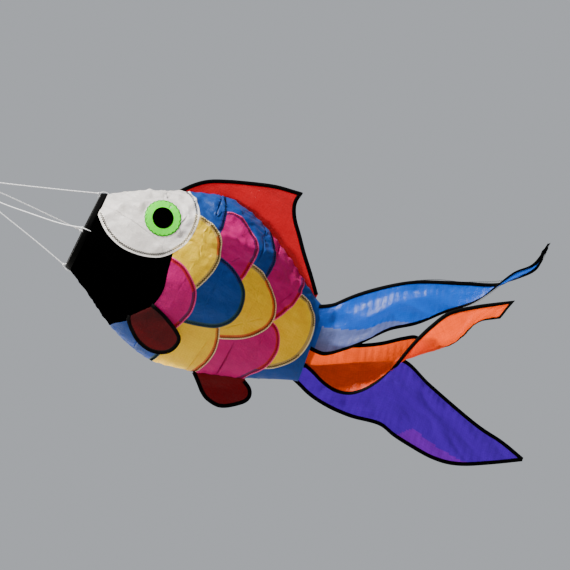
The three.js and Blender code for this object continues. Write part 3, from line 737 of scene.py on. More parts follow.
def cut_flat_body():
    """Cuts the flat body into triangles that follow every seam. Gives the flat points, the triangles, and
    for each triangle the panel that shows and the panel under it."""
    seams = seam_lines()
    outlines = [outline_of(i, seams) for i in range(len(PANELS))]
    points, faces, edges = [], [], []

    def add(line, closed):
        start = len(points)
        points.extend(Vector(p) for p in line)
        run = list(range(start, len(points)))
        if closed:
            faces.append(run)
        else:
            edges.extend(zip(run[:-1], run[1:]))

    add(counter_clockwise(domain_outline()), True)
    for outline in outlines:
        add(counter_clockwise(outline), True)
    for index, seam in enumerate(seams):
        if seam is not None:
            into = inward(seam, outlines[index])
            for inset in (ROLL, RAW_EDGE + 0.4, ALLOWANCE):
                add(seam + into * inset, False)
    taken = tree_of(points)
    reach = float(half_girth(260.0)[0]) + CLOTH_STEP
    for i, x in enumerate(np.arange(FRONT + CLOTH_STEP, RIM_BOTTOM_X, CLOTH_STEP * 0.87)):
        girth = float(half_girth(x)[0])
        for w in np.arange(-reach, reach, CLOTH_STEP) + (i % 2) * CLOTH_STEP / 2:
            if abs(w) < girth - 0.5 * CLOTH_STEP and taken.find((x, w, 0))[2] > 0.55 * CLOTH_STEP:
                points.append(Vector((x, w)))
    flat, _, triangles, _, _, held = delaunay_2d_cdt(points, edges, faces, 0, 1e-3, True)
    flat = np.array([tuple(p) for p in flat])
    keep, shows, under = [], [], []
    for triangle, sources in zip(triangles, held):
        if 0 not in sources:
            continue
        layers = sorted(s - 1 for s in sources if s > 0) or [len(PANELS) - 1]
        keep.append(triangle)
        shows.append(layers[0])
        under.append(layers[1] if len(layers) > 1 else -1)
    return flat, np.array(keep), np.array(shows), np.array(under), seams, outlines


FLAT, TRIANGLES, SHOWS, UNDER, SEAMS, OUTLINES = cut_flat_body()
SEAM_TREES = [None if seam is None else tree_of(spaced(seam, 0.8)) for seam in SEAMS]


def seam_distance(index, points):
    tree = SEAM_TREES[index]
    if tree is None:
        return np.full(len(points), 1e3)
    return np.array([tree.find((p[0], p[1], 0))[2] for p in points])


# the tension line from the top of the mouth along the flank, above which the cloth faces the light
CREST = spaced(flat_of(spline([(4, 80), (60, 92), (126, 103), (160, 120), (195, 124), (255, 112), (333, 119),
                               (380, 123), (430, 126)])), 2.0)
# smaller creases on both sides, each a line of the side view with a height and a width
CREASES = [
    ([(8, 80), (60, 100), (104, 128), (140, 158)], -8.0, 26),
    ([(16, 34), (40, 62), (52, 90)], 5.6, 15),
    ([(120, 60), (140, 44), (158, 20)], 6.4, 22),
    ([(176, 84), (190, 70), (196, 60)], -4.6, 20),
    ([(172, 130), (178, 150), (186, 178)], 5.0, 15),
    ([(214, 186), (222, 150), (228, 120)], 3.0, 17),
    ([(262, 190), (276, 168), (300, 128)], 2.2, 20),
    ([(300, 160), (318, 150), (342, 116), (360, 80)], 2.0, 18),
    ([(268, 130), (290, 112), (316, 104), (338, 92)], 2.4, 14),
    ([(420, 122), (432, 104), (446, 70), (452, 34)], 2.4, 16),
    ([(396, 116), (420, 96), (444, 84)], 2.0, 14),
    ([(404, 70), (430, 56), (452, 30)], -1.8, 12),
    ([(478, 92), (492, 60), (512, 40), (526, 10)], 2.6, 14),
    ([(496, 84), (516, 60), (528, 36)], -2.4, 12),
    ([(470, -96), (500, -76), (530, -60)], 2.0, 13),
    ([(190, 118), (214, 84), (226, 50)], 1.5, 18),
    ([(350, 80), (380, 60), (400, 34)], 1.6, 16),
    ([(440, 66), (474, 44), (498, 12)], 1.8, 16),
    ([(90, -8), (70, -60), (40, -88)], 2.0, 30),
]
CREASE_LINES = [(spaced(flat_of(spline(line)), 2.0), height, width) for line, height, width in CREASES]


def line_distance(points, line):
    """Each point's distance from a line and how far along the line it is, from 0 to 1."""
    tree = tree_of(line)
    found = [tree.find((p[0], p[1], 0)) for p in points]
    return np.array([f[2] for f in found]), np.array([f[1] for f in found]) / (len(line) - 1)


EYE_FLAT = flat_of([(EYE["x"], EYE["z"])])[0]


CREST_SHAPE = (10.0, 32.0)  # height and width of the tension line
LONG_FOLD = 1.6  # height of the long shallow folds
CRUMPLE = (0.6, 3.0)  # height of the crumples low on the flank, and what is added high on it
GATHER = (1.7, 23.0, 20.0)  # height, pitch and reach of the gathers along the back and the belly
PUCKER = (0.6, 9.5, 9.0)  # the same, for the small puckers close to those edges
EYE_CALM = (0.93, 50.0, 9.0)  # how much relief is taken away round the eye, from how far off, and how soon
EYE_CALM_TALL = 0.76  # distances round the body from the eye count for this much


def relief(points, side):
    """How far the cloth stands off the smooth skin, in millimetres."""
    x, w = points.T
    girth = half_girth(x)
    upper = ease((w / girth + 0.1) / 0.7)
    edge = girth - np.abs(w)
    shift = 0.0 if side < 0 else 37.0
    far, along = line_distance(points, CREST)
    height, width = CREST_SHAPE
    out = height * np.maximum(0, 1 - far / width) * ease(along / 0.15) * ease((1 - along) / 0.2)
    for line, height, width in CREASE_LINES:
        far, along = line_distance(points, line)
        out += height * np.maximum(0, 1 - far / width) ** 1.5 * ease(np.minimum(along, 1 - along) / 0.22)
    long_folds = ripple(x / 74 + shift, w / 26, 1.3)
    crumple = np.abs(ripple(x / 31 + shift, w / 24, 4.1)) + 0.5 * np.abs(ripple(x / 15, w / 13 + shift, 7.7))
    out += LONG_FOLD * long_folds + (CRUMPLE[0] + CRUMPLE[1] * upper) * (crumple - 0.35)
    height, pitch, fade = GATHER
    phase = 2 * math.pi * x / pitch + 2.2 * ripple(x / 60, np.zeros_like(x), 9.0 + shift)
    out += height * np.cos(phase) * np.exp(-edge / fade)
    height, pitch, fade = PUCKER
    out += height * (np.exp(-np.abs(edge) / fade) * np.cos(2 * math.pi * x / pitch))
    calm, start, fade = EYE_CALM
    from_eye = np.hypot(*((points - EYE_FLAT) * [1, EYE_CALM_TALL]).T)
    out *= 1 - calm * ease((start - from_eye) / fade)
    return out * ease(edge / 7) * ease((x - HEM_BACK) / 16) * (0.35 + 0.65 * ease((RIM_TOP_X - x) / 60))


def panel_places(index, base, normal, height):
    """The final places of all flat points as the given panel carries them."""
    far = seam_distance(index, FLAT)
    lift = SEAM_LIFT * ease(far / ROLL) * (1 - ease((far - ALLOWANCE) / 5))
    for front in range(index):
        lift = lift * ease(seam_distance(front, FLAT) / (2 * ROLL))
    lift = lift * ease((half_girth(FLAT[:, 0]) - np.abs(FLAT[:, 1])) / 3)
    return base + normal * (height + lift)[:, None]


class Side:
    """One half of the body: its panels, and a way to lay things on its cloth."""

    def __init__(self, side):
        self.side = side
        self.label = "left" if side < 0 else "right"
        self.base = skin(*FLAT.T, side)
        self.base[:, 1] += side * 0.15
        self.normal = skin_normal(*FLAT.T, side)
        height = relief(FLAT, side)
        self.places = [panel_places(i, self.base, self.normal, height) for i in range(len(PANELS))]
        flat3 = [(p[0], p[1], 0) for p in FLAT]
        self.tree = BVHTree.FromPolygons(flat3, TRIANGLES.tolist())
        self.flat3 = [Vector(p) for p in flat3]

    def lay(self, point, lift=0.0):
        """A flat point's place on the cloth, lifted off it, and the cloth's normal there."""
        _, _, face, _ = self.tree.find_nearest((point[0], point[1], 0))
        corners = TRIANGLES[face]
        target = [Vector(self.places[SHOWS[face]][k]) for k in corners]
        place = barycentric_transform(Vector((point[0], point[1], 0)), *(self.flat3[k] for k in corners),
                                      *target)
        normal = self.normal[corners].mean(axis=0)
        return np.array(place) + normal * lift, normal, SHOWS[face]

    def panel(self, index):
        name, colour, _, _ = PANELS[index]
        mine = np.where(SHOWS == index)[0]
        middles = FLAT[TRIANGLES[mine]].mean(axis=1)
        far = seam_distance(index, middles)
        materials, which = [cloth_of("main", colour)], np.zeros(len(mine), int)

        def slot_for(material):
            if material not in materials:
                materials.append(material)
            return materials.index(material)

        for k, triangle in enumerate(mine):
            if UNDER[triangle] >= 0 and far[k] < ALLOWANCE:
                pair = (colour, COLOUR_OF[PANELS[UNDER[triangle]][0]])
                if far[k] < RAW_EDGE and colour in EDGES:
                    which[k] = slot_for(cloth_of("edge", colour))
                elif pair in BANDS:
                    which[k] = slot_for(cloth_of("band", *pair))
        faces = TRIANGLES[mine]
        used, compact = np.unique(faces, return_inverse=True)
        faces = compact.reshape(-1, 3)
        if self.side > 0:
            faces = faces[:, ::-1]
        places = self.places[index][used]
        obj = mesh_object(f"cloth_{name}_{self.label}", places, faces, materials, which, uv=FLAT[used])
        finish_piece(obj, "fish", f"{colour}_ripstop", f"{name}_{self.label}")
        return obj

    def zigzag(self, seam, into, allowed, inset, pitch=STITCH["pitch"], width=STITCH["width"]):
        """A zigzag of thread beside a seam, in the stretches that the panel shows."""
        line = spaced(seam, pitch / 2)
        way = tangents_along(line)
        way = np.stack([-way[:, 1], way[:, 0]], axis=1)
        if (way[len(way) // 2] @ into[len(into) // 2]) < 0:
            way = -way
        runs, run = [], []
        for k, (point, across) in enumerate(zip(line, way)):
            at = point + across * (inset + (width / 2 if k % 2 else -width / 2))
            girth = float(half_girth(at[0])[0])
            inside = HEM_BACK + 1 < at[0] < RIM_TOP_X - 2 and abs(at[1]) < girth - 1
            place, normal, shows = self.lay(at, STITCH["height"] / 2 + 0.1)
            if inside and allowed(shows, at):
                run.append((place, normal))
            else:
                runs.append(run)
                run = []
        runs.append(run)
        return [thread_run(*zip(*r)) for r in runs if len(r) > 2]


def leg_points(values):
    """The values with two more on every leg, close to its ends."""
    values = np.array(values)
    ahead = values[1:] - values[:-1]
    legs = np.stack([values[:-1], values[:-1] + 0.16 * ahead, values[:-1] + 0.84 * ahead], axis=1)
    return np.vstack([legs.reshape(-1, values.shape[1]), values[-1:]])


def thread_run(places, normals, width=STITCH["thread"], height=STITCH["height"]):
    """A flat thread through the given places, straight from each to the next."""
    places, normals = leg_points(places), leg_points(normals)
    tangent = tangents_along(places)
    across = unit(np.cross(tangent, normals))
    profile = [(-width / 2, -height / 2), (-width / 3, height / 2), (width / 3, height / 2),
               (width / 2, -height / 2)]
    return sweep(places, across, normals, profile)


def eye_patch(half, name, radius, lift, colour, stitched):
    """A round patch that lies on the head and follows its creases."""
    rings = np.concatenate([np.linspace(0, radius - 2, 10)[1:], [radius - 0.8, radius]])
    heights = np.concatenate([np.full(9, lift), [lift * 0.9, 0.05]])
    spokes = 72
    side_view = [(EYE["x"], EYE["z"])]
    for r in rings:
        for k in range(spokes):
            angle = 2 * math.pi * k / spokes
            side_view.append((EYE["x"] + r * math.cos(angle), EYE["z"] + r * math.sin(angle)))
    flat = flat_of(side_view)
    lifts = np.concatenate([[lift], np.repeat(heights, spokes)])
    places = [half.lay(p, h)[0] for p, h in zip(flat, lifts)]
    faces = [(0, 1 + k, 1 + (k + 1) % spokes) for k in range(spokes)]
    for i in range(len(rings) - 1):
        for k in range(spokes):
            a, b = 1 + i * spokes + k, 1 + i * spokes + (k + 1) % spokes
            faces.append((a, a + spokes, b + spokes, b))
    if half.side > 0:
        faces = [face[::-1] for face in faces]
    obj = mesh_object(f"cloth_{name}_{half.label}", places, faces, [cloth_of("main", colour)], uv=flat)
    finish_piece(obj, "fish", f"{colour}_ripstop", f"{name}_{half.label}")
    if not stitched:
        return []
    count = 2 * round(math.pi * radius / STITCH["pitch"])
    places, normals = [], []
    for k in range(count + 1):
        angle = 2 * math.pi * k / count
        r = radius - 1.2 + (1.5 if k % 2 else -1.5)
        at = flat_of([(EYE["x"] + r * math.cos(angle), EYE["z"] + r * math.sin(angle))])[0]
        place, normal, _ = half.lay(at, lift + 0.35 if not k % 2 else 0.9)
        places.append(place)
        normals.append(normal)
    return [thread_run(places, normals)]


def build_body():
    for side in (-1, 1):
        half = Side(side)
        for index in range(len(PANELS)):
            half.panel(index)
        black, red = [], []
        for index, seam in enumerate(SEAMS):
            if seam is None or PANELS[index][1] == "black":
                continue
            into = inward(seam, OUTLINES[index])
            colour = PANELS[index][1]
            run = half.zigzag(seam, into, lambda shows, at, i=index: shows == i, STITCH_INSET[colour])
            (red if colour == "pink" else black).extend(run)
        black += eye_patch(half, "eye_ring", EYE["ring"], 1.5, "green", True)
        eye_patch(half, "eye_pupil", EYE["pupil"], 2.3, "black", False)
        for label, parts, material in (("black", black, THREAD), ("red", red, THREAD_RED)):
            closed_piece(f"stitches_{label}_{half.label}", joined(parts), material, "fish", "binding",
                         smooth=False)


# ---------------------------------------------------------------- the mouth
HEM_STITCHES = 130


def build_mouth():
    turns = 144
    profile = [(HEM_BACK, 0.75)]
    for k in range(9):
        angle = math.pi * k / 8
        profile.append((-HEM_R * math.sin(angle), HEM_R * math.cos(angle)))
    profile += [(HEM_BACK, -0.75), (HEM_BACK, -0.3), (5.0, -1.6)]
    for k in range(9):
        angle = math.pi - math.pi * k / 8
        profile.append((-(HEM_R - 0.6) * math.sin(angle), (HEM_R - 0.6) * math.cos(angle)))
    profile += [(5.0, 1.6), (HEM_BACK, 0.3)]
    profile.insert(1, (5.0, 2.5))
    profile.insert(11, (5.0, -2.5))
    points = []
    for i in range(turns):
        angle = 2 * math.pi * i / turns
        pleat = 0.45 * math.cos(31 * angle + 1.5 * math.sin(3 * angle))
        for x, lift in profile:
            loose = max(0.0, min(x / 6, (HEM_BACK - x) / 6)) * math.copysign(1, lift)
            points.append(around_mouth(x, lift + pleat * loose, angle))
    hem = closed_piece("hem_sleeve", (points, ring_faces(turns, len(profile))), BINDING, "fish", "binding",
                       "mouth_hem")

    row_parts = []
    for turn in (-1, 1):
        for i in range(HEM_STITCHES):
            start = 2 * math.pi * i / HEM_STITCHES
            ends = np.array([around_mouth(HEM_BACK - 2.2, turn * 1.25,
                                          start + 2 * math.pi * s / HEM_STITCHES * 0.62)
                             for s in (0, 0.5, 1)])
            outside = unit(np.column_stack([np.zeros(3), ends[:, 1], ends[:, 2]])) * turn
            row_parts.append(thread_run(ends, outside, 0.5, 0.4))
    stitches = closed_piece("stitches_hem", joined(row_parts), THREAD, "fish", "binding", smooth=False)

    circle = [around_mouth(0.0, 0.0, 2 * math.pi * i / 120) for i in range(120)]
    closed_piece("hoop_rod_ring", rope(circle, ROD_R, sides=12, closed=True), ROD, "fish", "hoop_rod",
                 "mouth_hoop")
    arc = [around_mouth(0.0, 0.0, -2.4 - 0.21 + 0.42 * k / 16) for k in range(17)]
    swell = np.array([1.62, 1.95, 2.3] + [2.3] * 11 + [2.3, 1.95, 1.62])
    a, b = carried(np.array(arc))
    turn = np.arange(16) * math.pi / 8
    rings = np.stack([np.cos(turn)[None] * swell[:, None], np.sin(turn)[None] * swell[:, None]], axis=2)
    closed_piece("ferrule_sleeve", sweep(arc, a, b, rings), STEEL, "fish", "steel", "hoop_ferrule")


# ---------------------------------------------------------------- bridle, ring, swivel and snap
def knot_line(centre, size, toward):
    """A trefoil, the shape of a small overhand knot, round a line's direction."""
    centre, toward = np.asarray(centre, float), unit(np.asarray(toward, float))
    a = unit(np.cross(toward, [0.0, 1.0, 0.1]))
    b = np.cross(toward, a)
    t = np.linspace(0, 2 * math.pi, 61)[:-1]
    x, y, z = np.sin(t) + 2 * np.sin(2 * t), np.cos(t) - 2 * np.cos(2 * t), -np.sin(3 * t)
    return centre + size * (x[:, None] * a + y[:, None] * b + 1.7 * z[:, None] * toward) / 3


def tie_route(name):
    """A loop round the sleeve and the rod, through an eyelet behind the sleeve."""
    reach = 3.5 + LINE_R + 0.6
    ahead = -3.5 - LINE_R - 0.5
    outer = [(ahead, 1.7), (ahead + 2.5, reach - 0.4), (4, reach), (HEM_BACK - 2.5, 3.4),
             (HEM_BACK + 2.1, 0)]
    turn = outer + [(x, -out) for x, out in outer[-2::-1]]
    return centripetal([around_mouth(x, out, TIE_ANGLES[name]) for x, out in turn], 6)


def build_bridle():
    ring_and_swivel()
    for name, route in LINES.items():
        line = spaced(centripetal(route), 1.4)
        start, finish = line[0], line[-1]
        knots = [knot_line(start + unit(line[3] - start) * 1.0, 1.9, line[3] - start),
                 knot_line(finish - unit(finish - line[-4]) * 0.6, 1.8, finish - line[-4])]
        parts = [rope(k, 0.72, lay=3.2, sides=10, closed=True) for k in knots]
        knot = closed_piece(f"knots_{name}", joined(parts), CORD, "fish", "bridle_cord", in_row=True)
        cord = closed_piece(f"cord_{name}", rope(line, LINE_R, lay=5.0), CORD, "fish", "bridle_cord",
                            f"bridle_line_{name}", in_row=True)
        loop = spaced(tie_route(name), 0.9)
        tie = closed_piece(f"tie_{name}", rope(loop, TIE_R, lay=4.0, sides=10), CORD, "fish", "bridle_cord",
                           f"bridle_tie_{name}")
        tail = loop[-1] + np.array([[0, 0, 0], [-1.5, 0.4, -1.6], [-1.4, 1.0, -4.2], [0.2, 1.2, -7.0]])
        ends = closed_piece(f"tie_end_{name}", rope(centripetal(tail, 6), TIE_END_R, lay=3.4, sides=8), CORD,
                            "fish", "bridle_cord")


def ring_and_swivel():
    """The ring, the barrel swivel, its two eyes, and the snap with its gate."""
    turn = np.arange(48) * 2 * math.pi / 48
    circle = np.stack([RING["x"] + RING["radius"] * np.cos(turn), 0 * turn, RING["radius"] * np.sin(turn)],
                      axis=1)
    closed_piece("split_ring", rope(circle, RING["wire"], sides=14, closed=True), STEEL, "fish", "steel",
                 "bridle_ring", in_row=True)

    half, wide, bore = SWIVEL["length"] / 2, SWIVEL["radius"], SWIVEL["bore"]
    outer = [(-half, bore), (-half, 1.7), (-half + 0.5, 2.2), (-half + 1.6, wide - 0.1), (-half + 2.6, wide),
             (-1.8, wide), (-1.5, wide - 0.35), (-1.1, wide), (-0.2, wide), (0, wide - 0.35), (0.2, wide),
             (1.1, wide), (1.5, wide - 0.35), (1.8, wide), (half - 2.6, wide), (half - 1.6, wide - 0.1),
             (half - 0.5, 2.2), (half, 1.7), (half, bore)]
    inner = [(half - 1, bore), (half - 1, 2.0), (1 - half, 2.0), (1 - half, bore)]
    points, faces = lathe_x(outer + inner, 40)
    closed_piece("swivel_body", (points + [SWIVEL["x"], 0, 0], faces), BRASS, "fish", "brass",
                 "swivel_barrel", in_row=True)

    for name, way, body in (("swivel_eye_rear", 1, "fish"), ("swivel_eye_front", -1, "snap")):
        centre = SWIVEL["x"] + way * SWIVEL["eye"]
        loop = SWIVEL["loop"]
        eye = np.stack([centre + loop * np.cos(turn), loop * np.sin(turn), 0 * turn], axis=1)
        stem_at = [(SWIVEL["x"] + way * s, 0, 0) for s in np.linspace(4.2, SWIVEL["eye"] - 3.1, 9)]
        wrap = [(SWIVEL["x"] + way * (7.4 + 1.4 * k / 30), 1.1 * math.cos(k * 0.62), 1.1 * math.sin(k * 0.62))
                for k in range(31)]
        head, head_faces = lathe_x([(0, 0.3), (0, 1.3), (0.3, 1.6), (1.1, 1.6), (1.4, 1.3), (1.4, 0.3)], 20)
        head[:, 0] = SWIVEL["x"] + way * (4.0 + head[:, 0])
        parts = [rope(eye, SWIVEL["wire"], sides=10, closed=True), rope(stem_at, SWIVEL["stem"], sides=12),
                 rope(wrap, FINE_WIRE, sides=8), (head, head_faces)]
        closed_piece(f"{name}_wire", joined(parts), STEEL, body, "steel", name, in_row=True)

    def bend(x, start, stop):
        angles = np.linspace(start, stop, 17)
        return [(x + SNAP["half"] * math.cos(a), 0, SNAP["half"] * math.sin(a)) for a in angles]

    wire = [(SNAP["hinge"] + 1.5, 0, -SNAP["half"])] + bend(SNAP["rear"], -math.pi / 2, math.pi / 2)
    wire += bend(SNAP["front"], math.pi / 2, 1.5 * math.pi)
    around = SNAP["wire"] + FINE_WIRE
    coil = [(SNAP["coil_x"] + SNAP["coil_length"] * k / 60, around * math.sin(k * 0.55),
             -SNAP["half"] + around * math.cos(k * 0.55)) for k in range(61)]
    parts = [rope(spaced(wire, 0.7), SNAP["wire"], sides=14), rope(coil, FINE_WIRE, sides=8)]
    closed_piece("snap_wire", joined(parts), STEEL, "snap", "steel", "snap_frame", in_row=True)
    gate_line = [(x, 0, -SNAP["half"]) for x in np.linspace(SNAP["hinge"] + 0.2, SNAP["latch"], 24)]
    hook = rope(np.array([(SNAP["hinge"] - 0.1 + 0.5 * math.cos(a), 1.05 * math.sin(a), -SNAP["half"] + 0.2)
                          for a in np.linspace(0, 2 * math.pi, 25)[:-1]]), 0.3, sides=8, closed=True)
    closed_piece("snap_gate_wire", joined([rope(gate_line, SNAP["wire"], sides=14), hook]), STEEL,
                 "snap_gate", "steel", "snap_gate", in_row=True)


# ---------------------------------------------------------------- fins and tails
def bound_edge(line, normals, into, width=TAPE, thick=0.75):
    """A folded tape over a free edge: a flat closed sleeve from just outside the edge to its width inside."""
    profile = [(-0.9, 0), (-0.5, thick), (width * 0.45, thick * 1.15), (width - 0.3, thick), (width, 0.35),
               (width, -0.35), (width - 0.3, -thick), (width * 0.45, -thick * 1.15), (-0.5, -thick)]
    return sweep(line, into, normals, profile)


def edge_stitches(line, normals, into, inset=TAPE * 0.7, pitch=4.4, width=2.6):
    """A zigzag of thread on both faces of a bound edge."""
    parts = []
    for face in (-1, 1):
        count = max(4, int(lengths(line)[-1] / (pitch / 2)))
        at = spaced(line, count=count)
        n, i = unit(spaced(normals, count=count)) * face, unit(spaced(into, count=count))
        swing = np.where(np.arange(count) % 2, width / 2, -width / 2)[:, None]
        parts.append(thread_run(at + i * (inset + swing) + n * 1.0, n, 0.6, 0.3))
    return parts


def edge_trims(name, tapes, threads):
    """The binding and the stitches of a sheet's free edges."""
    return [outward(mesh_object(f"binding_{name}", *joined(tapes), [BINDING])),
            outward(mesh_object(f"stitches_{name}", *joined(threads), [THREAD], smooth=False))]


def hang_on_hinge(sheet, slot, trims, joint):
    """Bakes the transforms of a sheet and its trims into their meshes and hides the CAD part of the joint's
    child body. slot is not used.
    """
    start, body = np.array(joint["pos_m"]), joint["child"]
    for piece, which in [(sheet, slot)] + [(trim, "binding") for trim in trims]:
        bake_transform(piece)
    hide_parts(body)


def finned(name, outline, free, place, colour, slot, hinge):
    """A fin: cloth cut to outline, in the side view, with its free edge bound. place puts points of the
    side view in space and gives the normals there."""
    boundary = counter_clockwise(spaced(np.vstack([outline, outline[:1]]), 3.5)[:-1])
    points = [Vector(p) for p in boundary]
    taken = tree_of(points)
    low, high = boundary.min(axis=0), boundary.max(axis=0)
    for i, x in enumerate(np.arange(low[0], high[0], 4.0)):
        for z in np.arange(low[1], high[1], 4.6) + (i % 2) * 2.3:
            if taken.find((x, z, 0))[2] > 2.4 and inside_outline((x, z), boundary):
                points.append(Vector((x, z)))
    flat, _, faces, _, _, held = delaunay_2d_cdt(points, [], [list(range(len(boundary)))], 0, 1e-3, True)
    flat = np.array([tuple(p) for p in flat])
    faces = np.array([f for f, sources in zip(faces, held) if sources])
    places, _ = place(flat)
    obj = mesh_object(f"cloth_{name}", places, faces, [cloth_of("main", colour)], uv=flat)
    line = spaced(free, 3.0)
    at, normals = place(line)
    tangent = tangents_along(line)
    side = np.stack([-tangent[:, 1], tangent[:, 0]], axis=1)
    middle = len(line) // 2
    if not inside_outline(line[middle] + 3 * side[middle], boundary):
        side = -side
    inner, _ = place(line + side)
    into = unit(inner - at)
    trims = edge_trims(name, [bound_edge(at, normals, into)], edge_stitches(at, normals, into))
    joint = JOINTS[hinge]
    axis = np.array(joint["axis"])
    start = np.array(joint["pos_m"])
    middle_point = row(place(line[middle:middle + 1])[0])[0]
    away = middle_point - start
    away = unit(away - axis * (away @ axis))
    hang_on_hinge(obj, slot, trims, joint)


def with_slopes(depth, points):
    """A depth off the side view at each point, and how it changes in a millimetre of x and of z."""
    here = depth(points)
    return here, depth(points + [1.0, 0]) - here, depth(points + [0, 1.0]) - here


def flat_place(billow, shift):
    """Puts a fin of the middle plane in space, with the slack of loose cloth."""
    def place(points):
        def side(p):
            return billow(p[:, 0], p[:, 1]) + 1.0 * ripple(p[:, 0] / 40 + shift, p[:, 1] / 26, shift)
        y, dx, dz = with_slopes(side, points)
        normals = unit(np.stack([dx, -np.ones_like(dx), dz], axis=1))
        return np.stack([points[:, 0], y, points[:, 1]], axis=1), normals
    return place


def build_fins():
    def root(line, start, stop, inset):
        xs = np.linspace(start, stop, 60)
        return np.stack([xs, line(xs) + inset], axis=1)

    free = np.vstack([spline(DORSAL), spline(DORSAL_REAR)[1:]])
    outline = np.vstack([free, root(top, 498, 141, -1.0)])

    def dorsal_billow(x, z):
        rise = ease((z - top(np.clip(x, 0, 550))) / 60)
        crease = np.maximum(0, 1 - np.abs(x - 272 + 0.35 * (z - 195)) / 22)
        return rise * (5.0 * np.sin((x - 150) / 75) + 2.2 * np.sin(z / 24 + x / 60)) + 2.0 * crease * rise
    finned("dorsal_fin", outline, free, flat_place(dorsal_billow, 2.3), "red", "red_ripstop",
           "dorsal_fin_flap")

    free = spline(VENTRAL)
    outline = np.vstack([free, root(bottom, 438, 336, 1.0)])

    def ventral_billow(x, z):
        drop = ease((bottom(np.clip(x, 0, 550)) - z) / 30)
        return drop * 3.0 * np.sin((x - 330) / 34)
    finned("ventral_fin", outline, free, flat_place(ventral_billow, 5.1), "dark_red", "dark_red_ripstop",
           "ventral_fin_flap")

    def skin_reach(x, z):
        half, mid, width = section(np.float64(x))
        return width * math.sqrt(max(0.0, 1 - ((z - mid) / half) ** 2))
    low, high = PECTORAL[-1], PECTORAL[0]
    low3 = np.array([low[0], skin_reach(*low) + PECTORAL_LIFT, low[1]])
    high3 = np.array([high[0], skin_reach(*high) + PECTORAL_LIFT, high[1]])
    across = np.cross(high3 - low3, np.array(PECTORAL_TIP) - low3)
    along_root = unit(np.array([high[0] - low[0], high[1] - low[1]], float))
    off_root = np.array([along_root[1], -along_root[0]])

    for side, label in ((-1, "left"), (1, "right")):
        def place(points, side=side):
            def reach(p):
                plane = low3[1] - (across[0] * (p[:, 0] - low3[0])
                                   + across[2] * (p[:, 1] - low3[2])) / across[1]
                out = (p - np.array(low)) @ off_root
                tuck = (PECTORAL_LIFT - 1.2) * (1 - ease(out / 10))
                cup = 5.0 * ease(out / 40) * np.sin((p[:, 1] + 125) / 26) * -1
                return plane - tuck + cup + 0.8 * ripple(p[:, 0] / 22, p[:, 1] / 22, 3.0 + side)
            y, dx, dz = with_slopes(reach, points)
            normals = unit(np.stack([-dx, np.ones_like(dx), -dz], axis=1)) * [1, side, 1]
            return np.stack([points[:, 0], side * y, points[:, 1]], axis=1), normals
        free = spline(PECTORAL)
        finned(f"pectoral_fin_{label}", free, free, place, "dark_red", "dark_red_ripstop",
               f"pectoral_fin_{label}_flare")


TAIL_END = 0.99  # the share of the tails' outline curves that is cloth
TAIL_TUCK = 14.0  # the tails' front edges are sewn in this far inside the body's rear rim


def tail_surface(name):
    high, centre, low = (spaced(centripetal(points), count=401) for points in TAILS[name])

    def point(u, v):
        at = u * TAIL_END * 400
        a, b, c = (np.stack([np.interp(at, np.arange(401), line[:, k]) for k in range(3)], axis=-1)
                   for line in (high, centre, low))
        v = np.asarray(v)[..., None]
        return a * (1 - v) * (1 - 2 * v) + b * 4 * v * (1 - v) + c * v * (2 * v - 1)
    return point, lengths(centre)[-1] * TAIL_END


TAIL_ROWS, TAIL_COLUMNS = 190, 34
NARROW_END = 16.0  # a tail's end is bound when it is wider than this


def grid_normals(places):
    """The normals of a grid of places, and its steps along and across."""
    along, across = np.gradient(places, axis=0), np.gradient(places, axis=1)
    return unit(np.cross(along, across)), along, across


